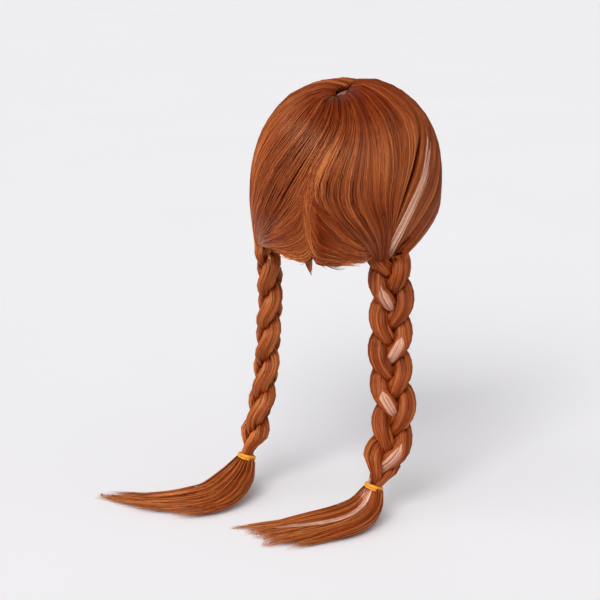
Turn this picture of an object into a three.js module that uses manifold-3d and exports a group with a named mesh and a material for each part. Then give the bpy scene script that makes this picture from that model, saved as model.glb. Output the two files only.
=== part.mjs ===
// Pigtail wig: hair combed over an elastic cap, parted on top, and worked into two three-strand
// plaits, each tied with a rubber band above a loose tail. One pale lock runs down the right side.
// Millimetres, +Z up, the wearer faces -Y and the wearer's left is +X.
// The origin is where the crown of the head seats in the cap.
import * as THREE from "three";
import { mergeVertices } from "three/addons/utils/BufferGeometryUtils.js";
import Module from "manifold-3d";

const wasm = await Module();
wasm.setup();
const V = (x, y, z) => new THREE.Vector3(x, y, z);
const radians = THREE.MathUtils.degToRad;
const { lerp, clamp } = THREE.MathUtils;

// Head that the cap fits, measured from the middle of its widest level
const headHalfWidth = 77;
const headHalfDepth = 96;
const headRise = 95;
const headSquareness = 2.2;

// Cap and the skin-toned strip that shows in the part
const capWall = 1.5;
const partOffset = -7;
const partSkinWidth = 11;
const partSkinThickness = 0.9;
const partFront = 80.6;
const crownBack = 28;

// Combed hair. clearance is what is cut free where two pieces meet, seam is the gap made between
// neighbours by their own shape, and capClearance keeps flat facets of the hair off the cap.
const hairLoft = 11;
const lockRelief = 1.8;
const rootFullness = 0.6;
const rootRise = 0.08;
const rootLift = 1.4;
const leftThinning = 0.45;
const lockEdgeHeight = 0.8;
const clearance = 0.35;
const touchClearance = 0.06;
const seam = 1;
const strandSeam = 0.5;
const crossingSeam = 2.4;
const capClearance = 1.4;

// Plaits
const plaitWidth = 42;
const plaitThickness = 24;
const plaitPitch = 104.5;
const plaitTop = 151;
const neckRadius = 7.6;
const gatherLength = 30;
const strandFullness = 1.04;

// Rubber bands
const bandWidth = 3.4;
const bandThickness = 1.6;
const bandShoulder = 0.5;

// Surface that the tails lie on, and the tails
const surfaceDrop = 406;
const tailLockThickness = 9;
const tailLockWidth = 17;
const tailLength = 150;
const tailSpread = 0.72;
const tipShare = 0.12;
const lockStagger = 0.08;
const tailClearance = 0.6;

// Pale lock
const paleWidth = 8;
const paleThickness = 2.6;
const paleShare = 0.27;
const groovePlay = 0.6;
const grooveShare = 0.64;
const grooveLip = 0.014;
const grooveDepth = paleThickness + clearance;

// Facets
const capColumns = 22;
const capRows = 6;
const sheetRows = 10;
const strandSides = 7;
const strandStep = 7;
const lockSides = 6;
const lockRings = 7;
const bandSides = 14;

const hairColour = "#9a4f26";
const paleColour = "#c99a86";
const bandColour = "#e0961f";
const skinColour = "#c9a08c";
const capColour = "#6b3a20";

const smooth = (t) => THREE.MathUtils.smoothstep(t, 0, 1);

// A value or a vector read off evenly spaced stations, smoothly
function along(stations, t) {
  if (typeof stations[0] === "number") {
    return along(stations.map((s) => V(s, 0, 0)), t).x;
  }
  const curve = new THREE.CatmullRomCurve3(stations, false, "catmullrom", 0.5);
  return curve.getPoint(clamp(t, 0, 1));
}

// Closed meshes

function meshOf(points, faces) {
  const geometry = new THREE.BufferGeometry();
  geometry.setAttribute("position", new THREE.Float32BufferAttribute(points.flatMap((p) => p.toArray()), 3));
  geometry.setIndex(faces.flat());
  return geometry;
}

// Triangles that join two edges of a flat end, whatever their numbers of points
function zip(first, second) {
  const faces = [];
  let i = 0;
  let j = 0;
  while (i < first.length - 1 || j < second.length - 1) {
    const nextFirst = (i + 1) / (first.length - 1);
    const nextSecond = (j + 1) / (second.length - 1);
    if (j === second.length - 1 || (i < first.length - 1 && nextFirst <= nextSecond)) {
      faces.push([first[i], second[j], first[i + 1]]);
      i += 1;
    } else {
      faces.push([first[i], second[j], second[j + 1]]);
      j += 1;
    }
  }
  return faces;
}

// Rings of equal size joined into one closed skin; face is how many points of a ring are its outer face
function loft(rings, face) {
  const size = rings[0].length;
  const faces = [];
  for (let r = 0; r + 1 < rings.length; r += 1) {
    for (let i = 0; i < size; i += 1) {
      const a = r * size + i;
      const b = r * size + ((i + 1) % size);
      faces.push([a, b, a + size], [b, b + size, a + size]);
    }
  }
  const order = [...Array(size).keys()];
  const outer = order.slice(0, face);
  const inner = order.slice(face).reverse();
  const last = (rings.length - 1) * size;
  for (const [a, b, c] of zip(outer, inner)) {
    faces.push([a, b, c], [last + a, last + c, last + b]);
  }
  return facingOut(meshOf(rings.flat(), faces));
}

function facingOut(geometry) {
  const p = geometry.getAttribute("position");
  const index = geometry.index.array;
  const at = (i) => V().fromBufferAttribute(p, index[i]);
  let volume = 0;
  for (let i = 0; i < index.length; i += 3) {
    volume += at(i).dot(at(i + 1).cross(at(i + 2)));
  }
  if (volume < 0) {
    for (let i = 0; i < index.length; i += 3) {
      [index[i + 1], index[i + 2]] = [index[i + 2], index[i + 1]];
    }
  }
  return geometry;
}

// The same skin moved out along its normals, to cut a clearance with
function grown(geometry, by = clearance) {
  const copy = geometry.clone();
  copy.computeVertexNormals();
  const p = copy.getAttribute("position");
  const n = copy.getAttribute("normal");
  for (let i = 0; i < p.count; i += 1) {
    p.setXYZ(i, p.getX(i) + n.getX(i) * by, p.getY(i) + n.getY(i) * by, p.getZ(i) + n.getZ(i) * by);
  }
  copy.deleteAttribute("normal");
  return copy;
}

function solidOf(geometry) {
  const plain = geometry.clone();
  plain.deleteAttribute("normal");
  plain.deleteAttribute("uv");
  const merged = mergeVertices(plain, 1e-4);
  return new wasm.Manifold(new wasm.Mesh({
    numProp: 3,
    vertProperties: merged.getAttribute("position").array,
    triVerts: new Uint32Array(merged.index.array),
  }));
}

function geometryOf(solid) {
  const mesh = solid.getMesh();
  const geometry = new THREE.BufferGeometry();
  geometry.setAttribute("position", new THREE.BufferAttribute(mesh.vertProperties, 3));
  geometry.setIndex(new THREE.BufferAttribute(mesh.triVerts, 1));
  return geometry;
}

// A piece cut free of others, with a clearance all round them
function cutBy(geometry, others, by = clearance) {
  const cutters = others.flatMap((other) => [other, grown(other, by)]);
  const cut = cutters.reduce((solid, cutter) => solid.subtract(solidOf(cutter)), solidOf(geometry));
  const bodies = cut.decompose();
  bodies.sort((a, b) => b.volume() - a.volume());
  return geometryOf(bodies[0]);
}

// Head and cap

const headMiddle = V(0, 0, -headRise);

// Unit vector from the middle of the head: side is -1 right or 1 left, turn is degrees round
// from the back, and tilt is degrees down from the crown
function lie(side, turn, tilt) {
  const s = Math.sin(radians(tilt));
  return V(side * s * Math.sin(radians(turn)), s * Math.cos(radians(turn)), Math.cos(radians(tilt)));
}

function domeRadius(unit, off) {
  const n = headSquareness;
  const sum = Math.abs(unit.x / (headHalfWidth + off)) ** n
    + Math.abs(unit.y / (headHalfDepth + off)) ** n
    + Math.abs(unit.z / (headRise + off)) ** n;
  return sum ** (-1 / n);
}

const onDome = (unit, off) => headMiddle.clone().addScaledVector(unit, domeRadius(unit, off));

// Direction of the point of the head below a plan position
function overhead(x, y) {
  const z = headRise * Math.sqrt(Math.max(0.02, 1 - (x / headHalfWidth) ** 2 - (y / headHalfDepth) ** 2));
  return V(x, y, z).normalize();
}

// How far down from the crown the cap reaches, at even turns from the back round to the forehead
const capEdgeTilt = [115, 114, 105, 94, 90, 73, 60];

function dome(off, edgeShare, rows, columns) {
  const grid = [];
  for (let r = 1; r <= rows; r += 1) {
    const ring = [];
    for (let c = 0; c < columns; c += 1) {
      const turn = (360 * c) / columns;
      const fromBack = turn <= 180 ? turn : 360 - turn;
      const edge = along(capEdgeTilt, fromBack / 180) * edgeShare;
      ring.push(onDome(lie(1, turn, (edge * r) / rows), off));
    }
    grid.push(ring);
  }
  return grid;
}

// Crown, rings of one face, rings of the other back up, and its own crown: one closed thin wall
function capShell() {
  const outside = dome(capWall, 1, capRows, capColumns);
  const inside = dome(0, 1, capRows, capColumns).reverse();
  const rings = [...outside, ...inside];
  const points = [V(0, 0, capWall), V(0, 0, 0), ...rings.flat()];
  const at = (r, c) => 2 + r * capColumns + (c % capColumns);
  const faces = [];
  for (let c = 0; c < capColumns; c += 1) {
    faces.push([0, at(0, c), at(0, c + 1)], [1, at(rings.length - 1, c + 1), at(rings.length - 1, c)]);
    for (let r = 0; r + 1 < rings.length; r += 1) {
      faces.push([at(r, c), at(r + 1, c), at(r, c + 1)], [at(r, c + 1), at(r + 1, c), at(r + 1, c + 1)]);
    }
  }
  return facingOut(meshOf(points, faces));
}

// Solid of the capped head, to cut the hair's inner face with
function capBlank() {
  const rings = dome(capWall + clearance, 1, capRows, capColumns);
  const points = [V(0, 0, capWall + clearance), headMiddle.clone(), ...rings.flat()];
  const at = (r, c) => 2 + r * capColumns + (c % capColumns);
  const faces = [];
  for (let c = 0; c < capColumns; c += 1) {
    faces.push([0, at(0, c), at(0, c + 1)], [1, at(capRows - 1, c + 1), at(capRows - 1, c)]);
    for (let r = 0; r + 1 < capRows; r += 1) {
      faces.push([at(r, c), at(r + 1, c), at(r, c + 1)], [at(r, c + 1), at(r + 1, c), at(r + 1, c + 1)]);
    }
  }
  return facingOut(meshOf(points, faces));
}

// Plaits

// Middle line of each plait, from its root to its band at even steps down: out to the side and
// back from the middle of the head, in shares of the head's half width and half depth.
// face is how many degrees the plait's flat front is turned from the back towards its own side.
// lead is how far round its figure of eight strand 1 stands at the root.
const plaits = {
  right: {
    side: -1,
    out: [0.8, 0.86, 0.855, 0.85, 0.87, 0.945, 0.965, 0.915, 0.82],
    back: [0.385, 0.365, 0.355, 0.355, 0.375, 0.415, 0.48, 0.58, 0.7],
    face: [25, 25, 25, 25, 25],
    lead: 190,
    bandHeight: 27,
  },
  left: {
    side: 1,
    out: [0.89, 0.86, 0.85, 0.87, 0.885, 0.905, 0.945, 0.99, 1.06],
    back: [0.38, 0.375, 0.375, 0.38, 0.39, 0.41, 0.46, 0.54, 0.64],
    face: [65, 65, 62, 55, 40],
    lead: 349,
    bandHeight: 32,
  },
};
const SIDE = 0;
const TEMPLE = 1;
const BACK = 2;
const dropOf = (plait) => surfaceDrop - plait.bandHeight - plaitTop;
const strandRadiusWide = plaitWidth * 0.25;
const strandRadiusDeep = plaitThickness * 0.33;
const swingWide = plaitWidth / 2 - strandRadiusWide;
const swingDeep = plaitThickness / 2 - strandRadiusDeep;
const nearestStrands = swingDeep * Math.sqrt(3);
const neckSwing = neckRadius * 0.36;
const neckStrand = neckRadius - neckSwing * 1.25;

function plaitMiddle(plait, share) {
  return V(
    plait.side * along(plait.out, share) * headHalfWidth,
    along(plait.back, share) * headHalfDepth,
    -plaitTop - dropOf(plait) * share,
  );
}

// Position and axes of a plait at a share of its drop: run goes down it, front out of its flat face
function plaitFrame(plait, share) {
  const step = 0.01;
  const run = plaitMiddle(plait, Math.min(1, share + step))
    .sub(plaitMiddle(plait, Math.max(0, share - step))).normalize();
  const facing = radians(along(plait.face, share));
  const wanted = V(plait.side * Math.sin(facing), Math.cos(facing), 0);
  const front = wanted.addScaledVector(run, -wanted.dot(run)).normalize();
  const across = V().crossVectors(front, run).normalize();
  return { middle: plaitMiddle(plait, share), run, front, across };
}

// Where strand k runs in the plait's section, and how wide and deep it is there
function strandPlace(plait, k, share) {
  const down = share * dropOf(plait);
  const gather = smooth((down - (dropOf(plait) - gatherLength)) / (gatherLength * 0.8));
  const phase = radians(plait.lead - 120 * k + (360 * down) / plaitPitch);
  return {
    phase,
    x: Math.sin(phase) * lerp(swingWide, neckSwing, gather),
    y: -Math.sin(2 * phase) * lerp(swingDeep, neckSwing, gather),
    wide: lerp(strandRadiusWide, neckStrand, gather),
    deep: lerp(strandRadiusDeep, neckStrand, gather),
    loose: 1 - gather,
  };
}

// Reach of strand k's section in one direction: its own oval, flattened against both neighbours.
// Where strands cross they turn fast, so they are parted a little more there.
function strandReach(plait, k, share, angle) {
  const own = strandPlace(plait, k, share);
  const c = Math.cos(angle);
  const s = Math.sin(angle);
  let reach = strandFullness / Math.hypot(c / own.wide, s / own.deep);
  for (const other of [k + 1, k + 2]) {
    const next = strandPlace(plait, other % 3, share);
    const dx = next.x - own.x;
    const dy = next.y - own.y;
    const apart = Math.hypot(dx, dy);
    const crossing = 1 - smooth((apart / nearestStrands - 1) / 1.6);
    const parting = strandSeam + crossing * own.loose * crossingSeam;
    const towards = (c * dx + s * dy) / apart;
    if (towards > 0.05) {
      reach = Math.min(reach, (apart - parting) / 2 / towards);
    }
  }
  return reach;
}

// A point of a strand's skin, or one let in by a depth, but by no more than a share of its reach
function strandPoint(plait, k, share, angle, depth = 0, most = 0.5) {
  const frame = plaitFrame(plait, share);
  const own = strandPlace(plait, k, share);
  const full = strandReach(plait, k, share, angle);
  const reach = full - Math.min(depth, full * most);
  return frame.middle.clone()
    .addScaledVector(frame.across, own.x + reach * Math.cos(angle))
    .addScaledVector(frame.front, own.y + reach * Math.sin(angle));
}

// One strand. A grooved one has a channel down its front for the pale ribbon.
function strand(plait, k, grooved) {
  const rings = [];
  const steps = Math.round(dropOf(plait) / strandStep);
  for (let r = 0; r <= steps; r += 1) {
    const share = r / steps;
    const half = ribbonHalfAngle(plait, k, share);
    const groove = half + groovePlay / strandPlace(plait, k, share).wide;
    const start = grooved ? Math.PI / 2 + groove : 0;
    const sweep = grooved ? 2 * Math.PI - 2 * groove : (2 * Math.PI * (strandSides - 1)) / strandSides;
    const ring = [];
    for (let i = 0; i < strandSides; i += 1) {
      ring.push(strandPoint(plait, k, share, start + (sweep * i) / (strandSides - 1)));
    }
    if (grooved) {
      for (const edge of [-groove, groove]) {
        ring.push(strandPoint(plait, k, share, Math.PI / 2 + edge, grooveDepth, grooveShare));
      }
    }
    rings.push(ring);
  }
  return loft(rings, Math.ceil(strandSides / 2));
}

// The ribbon is widest where its strand crosses the front, and narrow where it turns at the side
const ribbonSpread = { least: 0.6, most: 1.4, widestPhase: 155 };

function ribbonHalfAngle(plait, k, share) {
  const place = strandPlace(plait, k, share);
  const shown = Math.cos(place.phase - radians(ribbonSpread.widestPhase)) ** 4 * place.loose;
  return ((paleWidth / 2) * lerp(ribbonSpread.least, ribbonSpread.most, shown)) / place.wide;
}

// Ribbon of pale hair let into the front of a strand
function strandRibbon(plait, k) {
  const rings = [];
  const steps = Math.round(dropOf(plait) / strandStep);
  for (let r = 0; r <= steps; r += 1) {
    const half = ribbonHalfAngle(plait, k, r / steps);
    const angles = [1, 0, -1].map((a) => Math.PI / 2 + a * half);
    const outer = angles.map((a) => strandPoint(plait, k, r / steps, a));
    const inner = angles.map((a) => strandPoint(plait, k, r / steps, a, paleThickness)).reverse();
    rings.push([...outer, ...inner]);
  }
  return loft(rings, 3);
}

// Rubber band round the neck of a plait
function band(plait) {
  const bore = neckRadius + clearance;
  const half = bandWidth / 2;
  const rim = bore + bandThickness;
  const shoulder = rim - bandShoulder;
  const profile = [[bore, -half], [shoulder, -half], [rim, 0], [shoulder, half], [bore, half], [bore, -half]];
  const ring = new THREE.LatheGeometry(profile.map(([x, y]) => new THREE.Vector2(x, y)), bandSides);
  const frame = plaitFrame(plait, 1);
  const middle = frame.middle.clone().addScaledVector(frame.run, -bandWidth);
  ring.applyQuaternion(new THREE.Quaternion().setFromUnitVectors(V(0, 1, 0), frame.run));
  ring.translate(...middle.toArray());
  ring.deleteAttribute("normal");
  ring.deleteAttribute("uv");
  return facingOut(mergeVertices(ring, 1e-4));
}

// Hair combed over the cap

// Each row is one line of the comb. It leaves the part at a place given as mm out from the part and
// as a share of the head's half depth back, or the middle of the nape at a turn and a tilt. Then it
// lies on the head through turns round from the back and tilts down from the crown, in degrees.
// Neighbours share the row between them, so they meet in a seam.
const backToSide = { out: 1.4, back: 0.06, lie: [[102, 42], [79, 66], [63, 86], [55, 104]] };
const sideToTemple = { out: 1.4, back: -0.46, lie: [[130, 60], [111, 82], [91, 100], [70, 114]] };
const backHair = [
  { out: 0.8, back: 0.33, lie: [[0.5, 50], [1, 84], [23, 107], [43, 113]] },
  { out: 4.0, back: 0.31, lie: [[18, 50], [25, 83], [39, 104], [48, 112]] },
  { out: 5.5, back: 0.26, lie: [[37, 49], [42, 80], [48, 100], [51, 110]] },
  { out: 4.5, back: 0.16, lie: [[66, 46], [61, 74], [55, 95], [53, 108]] },
  backToSide,
];
const sideHair = [
  backToSide,
  { out: 1.4, back: -0.12, lie: [[115, 49], [92, 70], [74, 89], [60, 106]] },
  { out: 1.4, back: -0.3, lie: [[124, 55], [103, 76], [83, 95], [65, 110]] },
  sideToTemple,
];
const templeHair = [
  sideToTemple,
  { out: 1.4, back: -0.6, lie: [[137, 65], [119, 86], [98, 104], [75, 117]] },
  { out: 1.4, back: -0.74, lie: [[144, 69], [125, 90], [103, 108], [78, 119]] },
  { out: 1.4, back: -0.85, lie: [[151, 73], [131, 95], [107, 112], [80, 121]] },
];
const napeHair = [
  { turn: 0.5, tilt: 84, lie: [[10.8, 97.3], [22.6, 107], [33, 111.5], [44, 115]] },
  { turn: 0.5, tilt: 101, lie: [[12, 109], [25, 115], [37, 118], [46, 119]] },
  { turn: 0.5, tilt: 119, lie: [[14, 120], [27, 122], [39, 123], [47, 123]] },
];

// How far the divide down the back of the head strays to the wearer's right, in degrees, at even
// steps of 12 degrees of tilt from the crown
const divideStray = [20, 20, 20, 22, 21, 19, 9, 6, 8, 8, 6, 4, 4];

function combed(side, turn, tilt) {
  const near = 1 - smooth(Math.abs(turn) / 60);
  return lie(side, turn - side * near * along(divideStray, tilt / 144), tilt);
}

// Direction of one comb line at share v of its length on the head, for a share u across the section
function combLine(table, side, u, v) {
  const columns = table.map((row) => {
    const root = row.out === undefined
      ? combed(side, row.turn, row.tilt)
      : overhead(partOffset + side * row.out, row.back * headHalfDepth);
    return along([root, ...row.lie.map(([turn, tilt]) => combed(side, turn, tilt))], v);
  });
  return along(columns, u).normalize();
}

// The same, drawn in from both edges of the section by half a seam. The hair lies flatter towards
// the wearer's left.
function combPoint(table, side, u, v, off) {
  const unit = combLine(table, side, u, v);
  const across = combLine(table, side, Math.min(1, u + 0.05), v)
    .sub(combLine(table, side, Math.max(0, u - 0.05), v)).normalize();
  const drawnIn = unit.addScaledVector(across, ((0.5 - u) * seam) / headHalfDepth).normalize();
  const thinned = Math.max(0, off - innerOff - rootLift) * leftThinning * smooth((drawnIn.x - 0.4) / 0.5);
  return onDome(drawnIn, off - thinned);
}

// The nape hair ends in a small round behind the strands, a little above them
const napeEnd = { behind: 15, radius: 3.8, above: 6.35 };

// Where a section ends on the plait: the oval of a strand, or that round
function rootPoint(plait, k, share, face, depth = 0, most = 0.5) {
  const frame = plaitFrame(plait, 0);
  const swing = Math.PI * lerp(0.04, 0.96, share);
  const way = lie(plait.side, 150, 90).multiplyScalar(-Math.cos(swing))
    .addScaledVector(lie(plait.side, 60, 90), face * Math.sin(swing));
  if (k === undefined) {
    return frame.middle.clone()
      .addScaledVector(lie(plait.side, 60, 90), -napeEnd.behind)
      .addScaledVector(way, napeEnd.radius)
      .addScaledVector(frame.run, -napeEnd.above);
  }
  const angle = Math.atan2(way.dot(frame.front), way.dot(frame.across));
  return strandPoint(plait, k, 0, angle, depth, most).addScaledVector(frame.run, -clearance);
}

const innerOff = capWall + capClearance;
const drawnToPlait = (v) => smooth((v - 0.62) / 0.38);
const drawnInside = (v) => smooth((v - 0.7) / 0.3);
const fullness = (v) => lerp(rootFullness, 1, smooth(v / rootRise));

// Height of the hair's surface over the cap: ridged locks, lower at a section's edges and by the part
function hairRise(u, v, locks) {
  const ridge = Math.abs(Math.sin(Math.PI * u * locks)) ** 0.6 * lockRelief;
  const shoulder = Math.min(1, Math.min(u, 1 - u) * locks * 1.5);
  return (hairLoft - lockRelief) * fullness(v) * lerp(lockEdgeHeight, 1, shoulder) + ridge;
}

// One section of combed hair as a closed skin. Its locks are ridges, and its end draws in to the
// oval that meets a strand of the plait. A groove is left for a pale lock at a share across it.
function hairSection(table, plait, k, { locks, groove }) {
  const columns = locks * 3;
  let faces = [];
  for (let i = 0; i <= columns; i += 1) {
    faces.push({ u: i / columns, lip: 0, depth: 0 });
  }
  if (groove !== undefined) {
    faces = [
      ...faces.filter(({ u }) => u < groove - ribbonShare.root),
      { u: groove, lip: -1, depth: 0 },
      { u: groove, lip: -1, depth: grooveDepth },
      { u: groove, lip: 1, depth: grooveDepth },
      { u: groove, lip: 1, depth: 0 },
      ...faces.filter(({ u }) => u > groove + ribbonShare.root),
    ];
  }
  const rings = [];
  for (let r = 0; r <= sheetRows; r += 1) {
    const v = r / sheetRows;
    const outer = faces.map((face) => {
      const u = face.u + face.lip * (ribbonHalf(v) + grooveLip);
      return combPoint(table, plait.side, u, v, capWall + hairRise(face.u, v, locks) - face.depth)
        .lerp(rootPoint(plait, k, u, 1, face.depth, grooveShare), drawnToPlait(v));
    });
    const inner = [];
    for (let i = locks + 1; i >= 0; i -= 1) {
      const u = i / (locks + 1);
      inner.push(combPoint(table, plait.side, u, v, innerOff + rootLift * (1 - smooth(v / rootRise)))
        .lerp(rootPoint(plait, k, u, -1), drawnInside(v)));
    }
    rings.push([...outer, ...inner]);
  }
  return loft(rings, faces.length);
}

// Pale lock let into the side hair, from the part to the plait. Half its width is a share of the
// section's width, which narrows towards the plait. It stops short of the first crossing.
const ribbonShare = { part: 0.075, root: 0.15 };
const sideLocks = 4;
const ribbonHalf = (v) => lerp(ribbonShare.part, ribbonShare.root, drawnToPlait(v));

function headRibbon(plait, share) {
  const rings = [];
  for (let r = 0; r < sheetRows; r += 1) {
    const v = r / sheetRows;
    const place = (a, depth) => {
      const u = share + a * ribbonHalf(v);
      const off = capWall + hairRise(share, v, sideLocks) - depth;
      return combPoint(sideHair, plait.side, u, v, off)
        .lerp(rootPoint(plait, SIDE, u, 1, depth), drawnToPlait(v));
    };
    rings.push([...[-1, 0, 1].map((a) => place(a, 0)), ...[1, 0, -1].map((a) => place(a, paleThickness))]);
  }
  return loft(rings, 3);
}

// Skin-toned strip of the part, from the front hairline to the crown
function partSkin() {
  const rings = [];
  for (let r = 0; r <= sheetRows; r += 1) {
    const y = lerp(-partFront, crownBack, r / sheetRows);
    const half = partSkinWidth / 2;
    const place = (x, off) => onDome(overhead(partOffset + x, y), off);
    const low = capWall + clearance;
    rings.push([
      ...[-half, 0, half].map((x) => place(x, low + partSkinThickness)),
      ...[half, 0, -half].map((x) => place(x, low)),
    ]);
  }
  return loft(rings, 3);
}

// Short tuft that hangs out of the middle of the nape
const tuft = { left: -3, back: 0.93, top: 138, length: 26, width: 9, depth: 5 };

function napeTuft() {
  const rings = [];
  for (let r = 0; r <= 5; r += 1) {
    const t = r / 5;
    const taper = Math.sin(Math.PI * lerp(0.3, 0.97, t));
    const middle = V(tuft.left, tuft.back * headHalfDepth - 7 * t * t, -tuft.top - tuft.length * t);
    const ring = [];
    for (let i = 0; i < lockSides; i += 1) {
      const angle = (2 * Math.PI * (i + 0.5)) / lockSides;
      ring.push(middle.clone().add(V(
        (Math.cos(angle) * tuft.width * taper) / 2,
        (Math.sin(angle) * tuft.depth * taper) / 2,
        0,
      )));
    }
    rings.push(ring);
  }
  return loft(rings, lockSides / 2);
}

// Tails

// The middle of each tail runs through points given in mm to the wearer's left of the band, back
// from it, and up from the surface. A lock's reach is its share of that run, fan is where it lies
// across the tail, from -1 on the far edge to 1 on the edge towards the plait's back, and width is
// its share of a full lock.
const tails = {
  right: {
    spine: [
      { left: 0, back: 0, up: 27 },
      { left: 3, back: 19, up: 13 },
      { left: 15, back: 42, up: 7 },
      { left: 37, back: 65, up: 5 },
      { left: 62, back: 87, up: 4 },
      { left: 88, back: 107, up: 1.5 },
    ],
    halfWidth: [6, 13, 18, 22, 27, 33],
    roll: 5,
    locks: [
      { reach: 1.04, fan: -1, width: 0.8 },
      { reach: 0.96, fan: -0.5, width: 1 },
      { reach: 0.93, fan: 0, width: 1 },
      { reach: 0.9, fan: 0.5, width: 1 },
      { reach: 0.9, fan: 1, width: 0.9 },
      { reach: 0.78, fan: 1.7, width: 0.75 },
    ],
  },
  left: {
    spine: [
      { left: 0, back: 0, up: 32 },
      { left: 1, back: 24, up: 19 },
      { left: 9, back: 52, up: 8 },
      { left: 28, back: 73, up: 6 },
      { left: 56, back: 84, up: 5 },
      { left: 90, back: 90, up: 4 },
      { left: 121, back: 89, up: 1.5 },
    ],
    halfWidth: [6, 14, 19, 20, 17, 12, 9],
    roll: 5,
    locks: [
      { reach: 1.02, fan: -1, width: 0.8 },
      { reach: 0.97, fan: -0.5, width: 1 },
      { reach: 0.9, fan: 0, width: 1 },
      { reach: 0.8, fan: 0.5, width: 1 },
      { reach: 0.57, fan: 1.45, width: 0.9 },
    ],
  },
};

// Middle of a tail and its sideways direction, at a share of its run
function tailMiddle(plait, tail, share) {
  const band = plaitFrame(plait, 1);
  const at = (t) => along(tail.spine.map((p) => V(p.left, p.back, p.up)), t);
  const clamped = Math.min(share, 1);
  const run = at(Math.min(1, clamped + 0.02)).sub(at(Math.max(0, clamped - 0.02))).normalize();
  const point = at(clamped).addScaledVector(run, Math.max(0, share - 1) * tailLength);
  const aside = V(-run.y, run.x, 0).normalize();
  const middle = V(band.middle.x + point.x, band.middle.y + point.y, point.z - surfaceDrop);
  return { middle, aside };
}

// Path of one lock of a tail: out of the band, down to the surface, and along it to its tip. The far
// edge of a tail stands higher where it comes down.
function lockPath(plait, tail, lock) {
  const points = [];
  for (let i = 0; i <= lockRings; i += 1) {
    const share = (lock.reach * i) / lockRings;
    const { middle, aside } = tailMiddle(plait, tail, share);
    const lifted = tail.roll * Math.sin(Math.PI * clamp(share / 0.75, 0, 1)) * Math.max(0, -lock.fan);
    middle.addScaledVector(aside, lock.fan * along(tail.halfWidth, share) * tailSpread);
    middle.z += lifted;
    points.push(middle);
  }
  return new THREE.CatmullRomCurve3(points, false, "centripetal");
}

// Each lock lies a hair's breadth above the one before it, so that no two share a face
function tailLock(plait, tail, lock, number) {
  const path = lockPath(plait, tail, lock);
  const rings = [];
  for (let r = 0; r <= lockRings; r += 1) {
    const t = r / lockRings;
    const run = path.getTangentAt(t);
    const across = V(-run.y, run.x, 0).normalize();
    const up = V().crossVectors(run, across).normalize();
    const opened = smooth(t / 0.35);
    const taper = lerp(1, tipShare, smooth((t - 0.5) / 0.5));
    const wide = lerp(neckRadius * 0.5, (tailLockWidth / 2) * lock.width, opened) * taper;
    const deep = lerp(neckRadius * 0.75, tailLockThickness / 2, opened) * taper;
    const ring = [];
    for (let i = 0; i < lockSides; i += 1) {
      const angle = (2 * Math.PI * (i + 0.5)) / lockSides;
      const point = path.getPointAt(t)
        .addScaledVector(across, Math.cos(angle) * wide)
        .addScaledVector(up, Math.sin(angle) * deep);
      point.z = Math.max(point.z, number * lockStagger - surfaceDrop);
      ring.push(point);
    }
    rings.push(ring);
  }
  return loft(rings, lockSides / 2);
}

function tailBody(plait, tail) {
  const locks = tail.locks.map((lock, number) => solidOf(tailLock(plait, tail, lock, number)));
  return geometryOf(locks.reduce((whole, lock) => whole.add(lock)));
}

// Pale lock on top of a tail
function tailRibbon(plait, tail) {
  const path = lockPath(plait, tail, tail.locks[2]);
  const rings = [];
  for (let r = 0; r <= lockRings; r += 1) {
    const t = 0.02 + (0.66 * r) / lockRings;
    const run = path.getTangentAt(t);
    const across = V(-run.y, run.x, 0).normalize();
    const up = V(0, 0, 1).addScaledVector(run, -run.z).normalize();
    const top = lerp(neckRadius * 0.8, tailLockThickness / 2, smooth(t / 0.35)) + clearance;
    const pointed = 1 - 0.8 * smooth((r / lockRings - 0.6) / 0.4);
    const half = (paleWidth / 2) * pointed * lerp(0.6, 1, smooth(t / 0.2));
    const place = (a, depth) => path.getPointAt(t)
      .addScaledVector(across, a * half)
      .addScaledVector(up, top - depth);
    const spread = [-1, -0.4, 0.4, 1];
    rings.push([...spread.map((a) => place(a, 0)), ...spread.map((a) => place(-a, paleThickness))]);
  }
  return loft(rings, 4);
}

// Assembly

const wig = new THREE.Group();
const finishes = {
  hair: new THREE.MeshStandardMaterial({ color: hairColour, roughness: 0.42, metalness: 0 }),
  pale: new THREE.MeshStandardMaterial({ color: paleColour, roughness: 0.4, metalness: 0 }),
  band: new THREE.MeshStandardMaterial({ color: bandColour, roughness: 0.35, metalness: 0 }),
  skin: new THREE.MeshStandardMaterial({ color: skinColour, roughness: 0.6, metalness: 0 }),
  cap: new THREE.MeshStandardMaterial({ color: capColour, roughness: 0.85, metalness: 0 }),
};

function addPiece(name, geometry, finish) {
  const mesh = new THREE.Mesh(geometry, finish);
  mesh.name = name;
  wig.add(mesh);
}

const blank = capBlank();
const onHead = [];
const strip = partSkin();
addPiece("wig_cap", capShell(), finishes.cap);
addPiece("part_skin", strip, finishes.skin);

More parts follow.
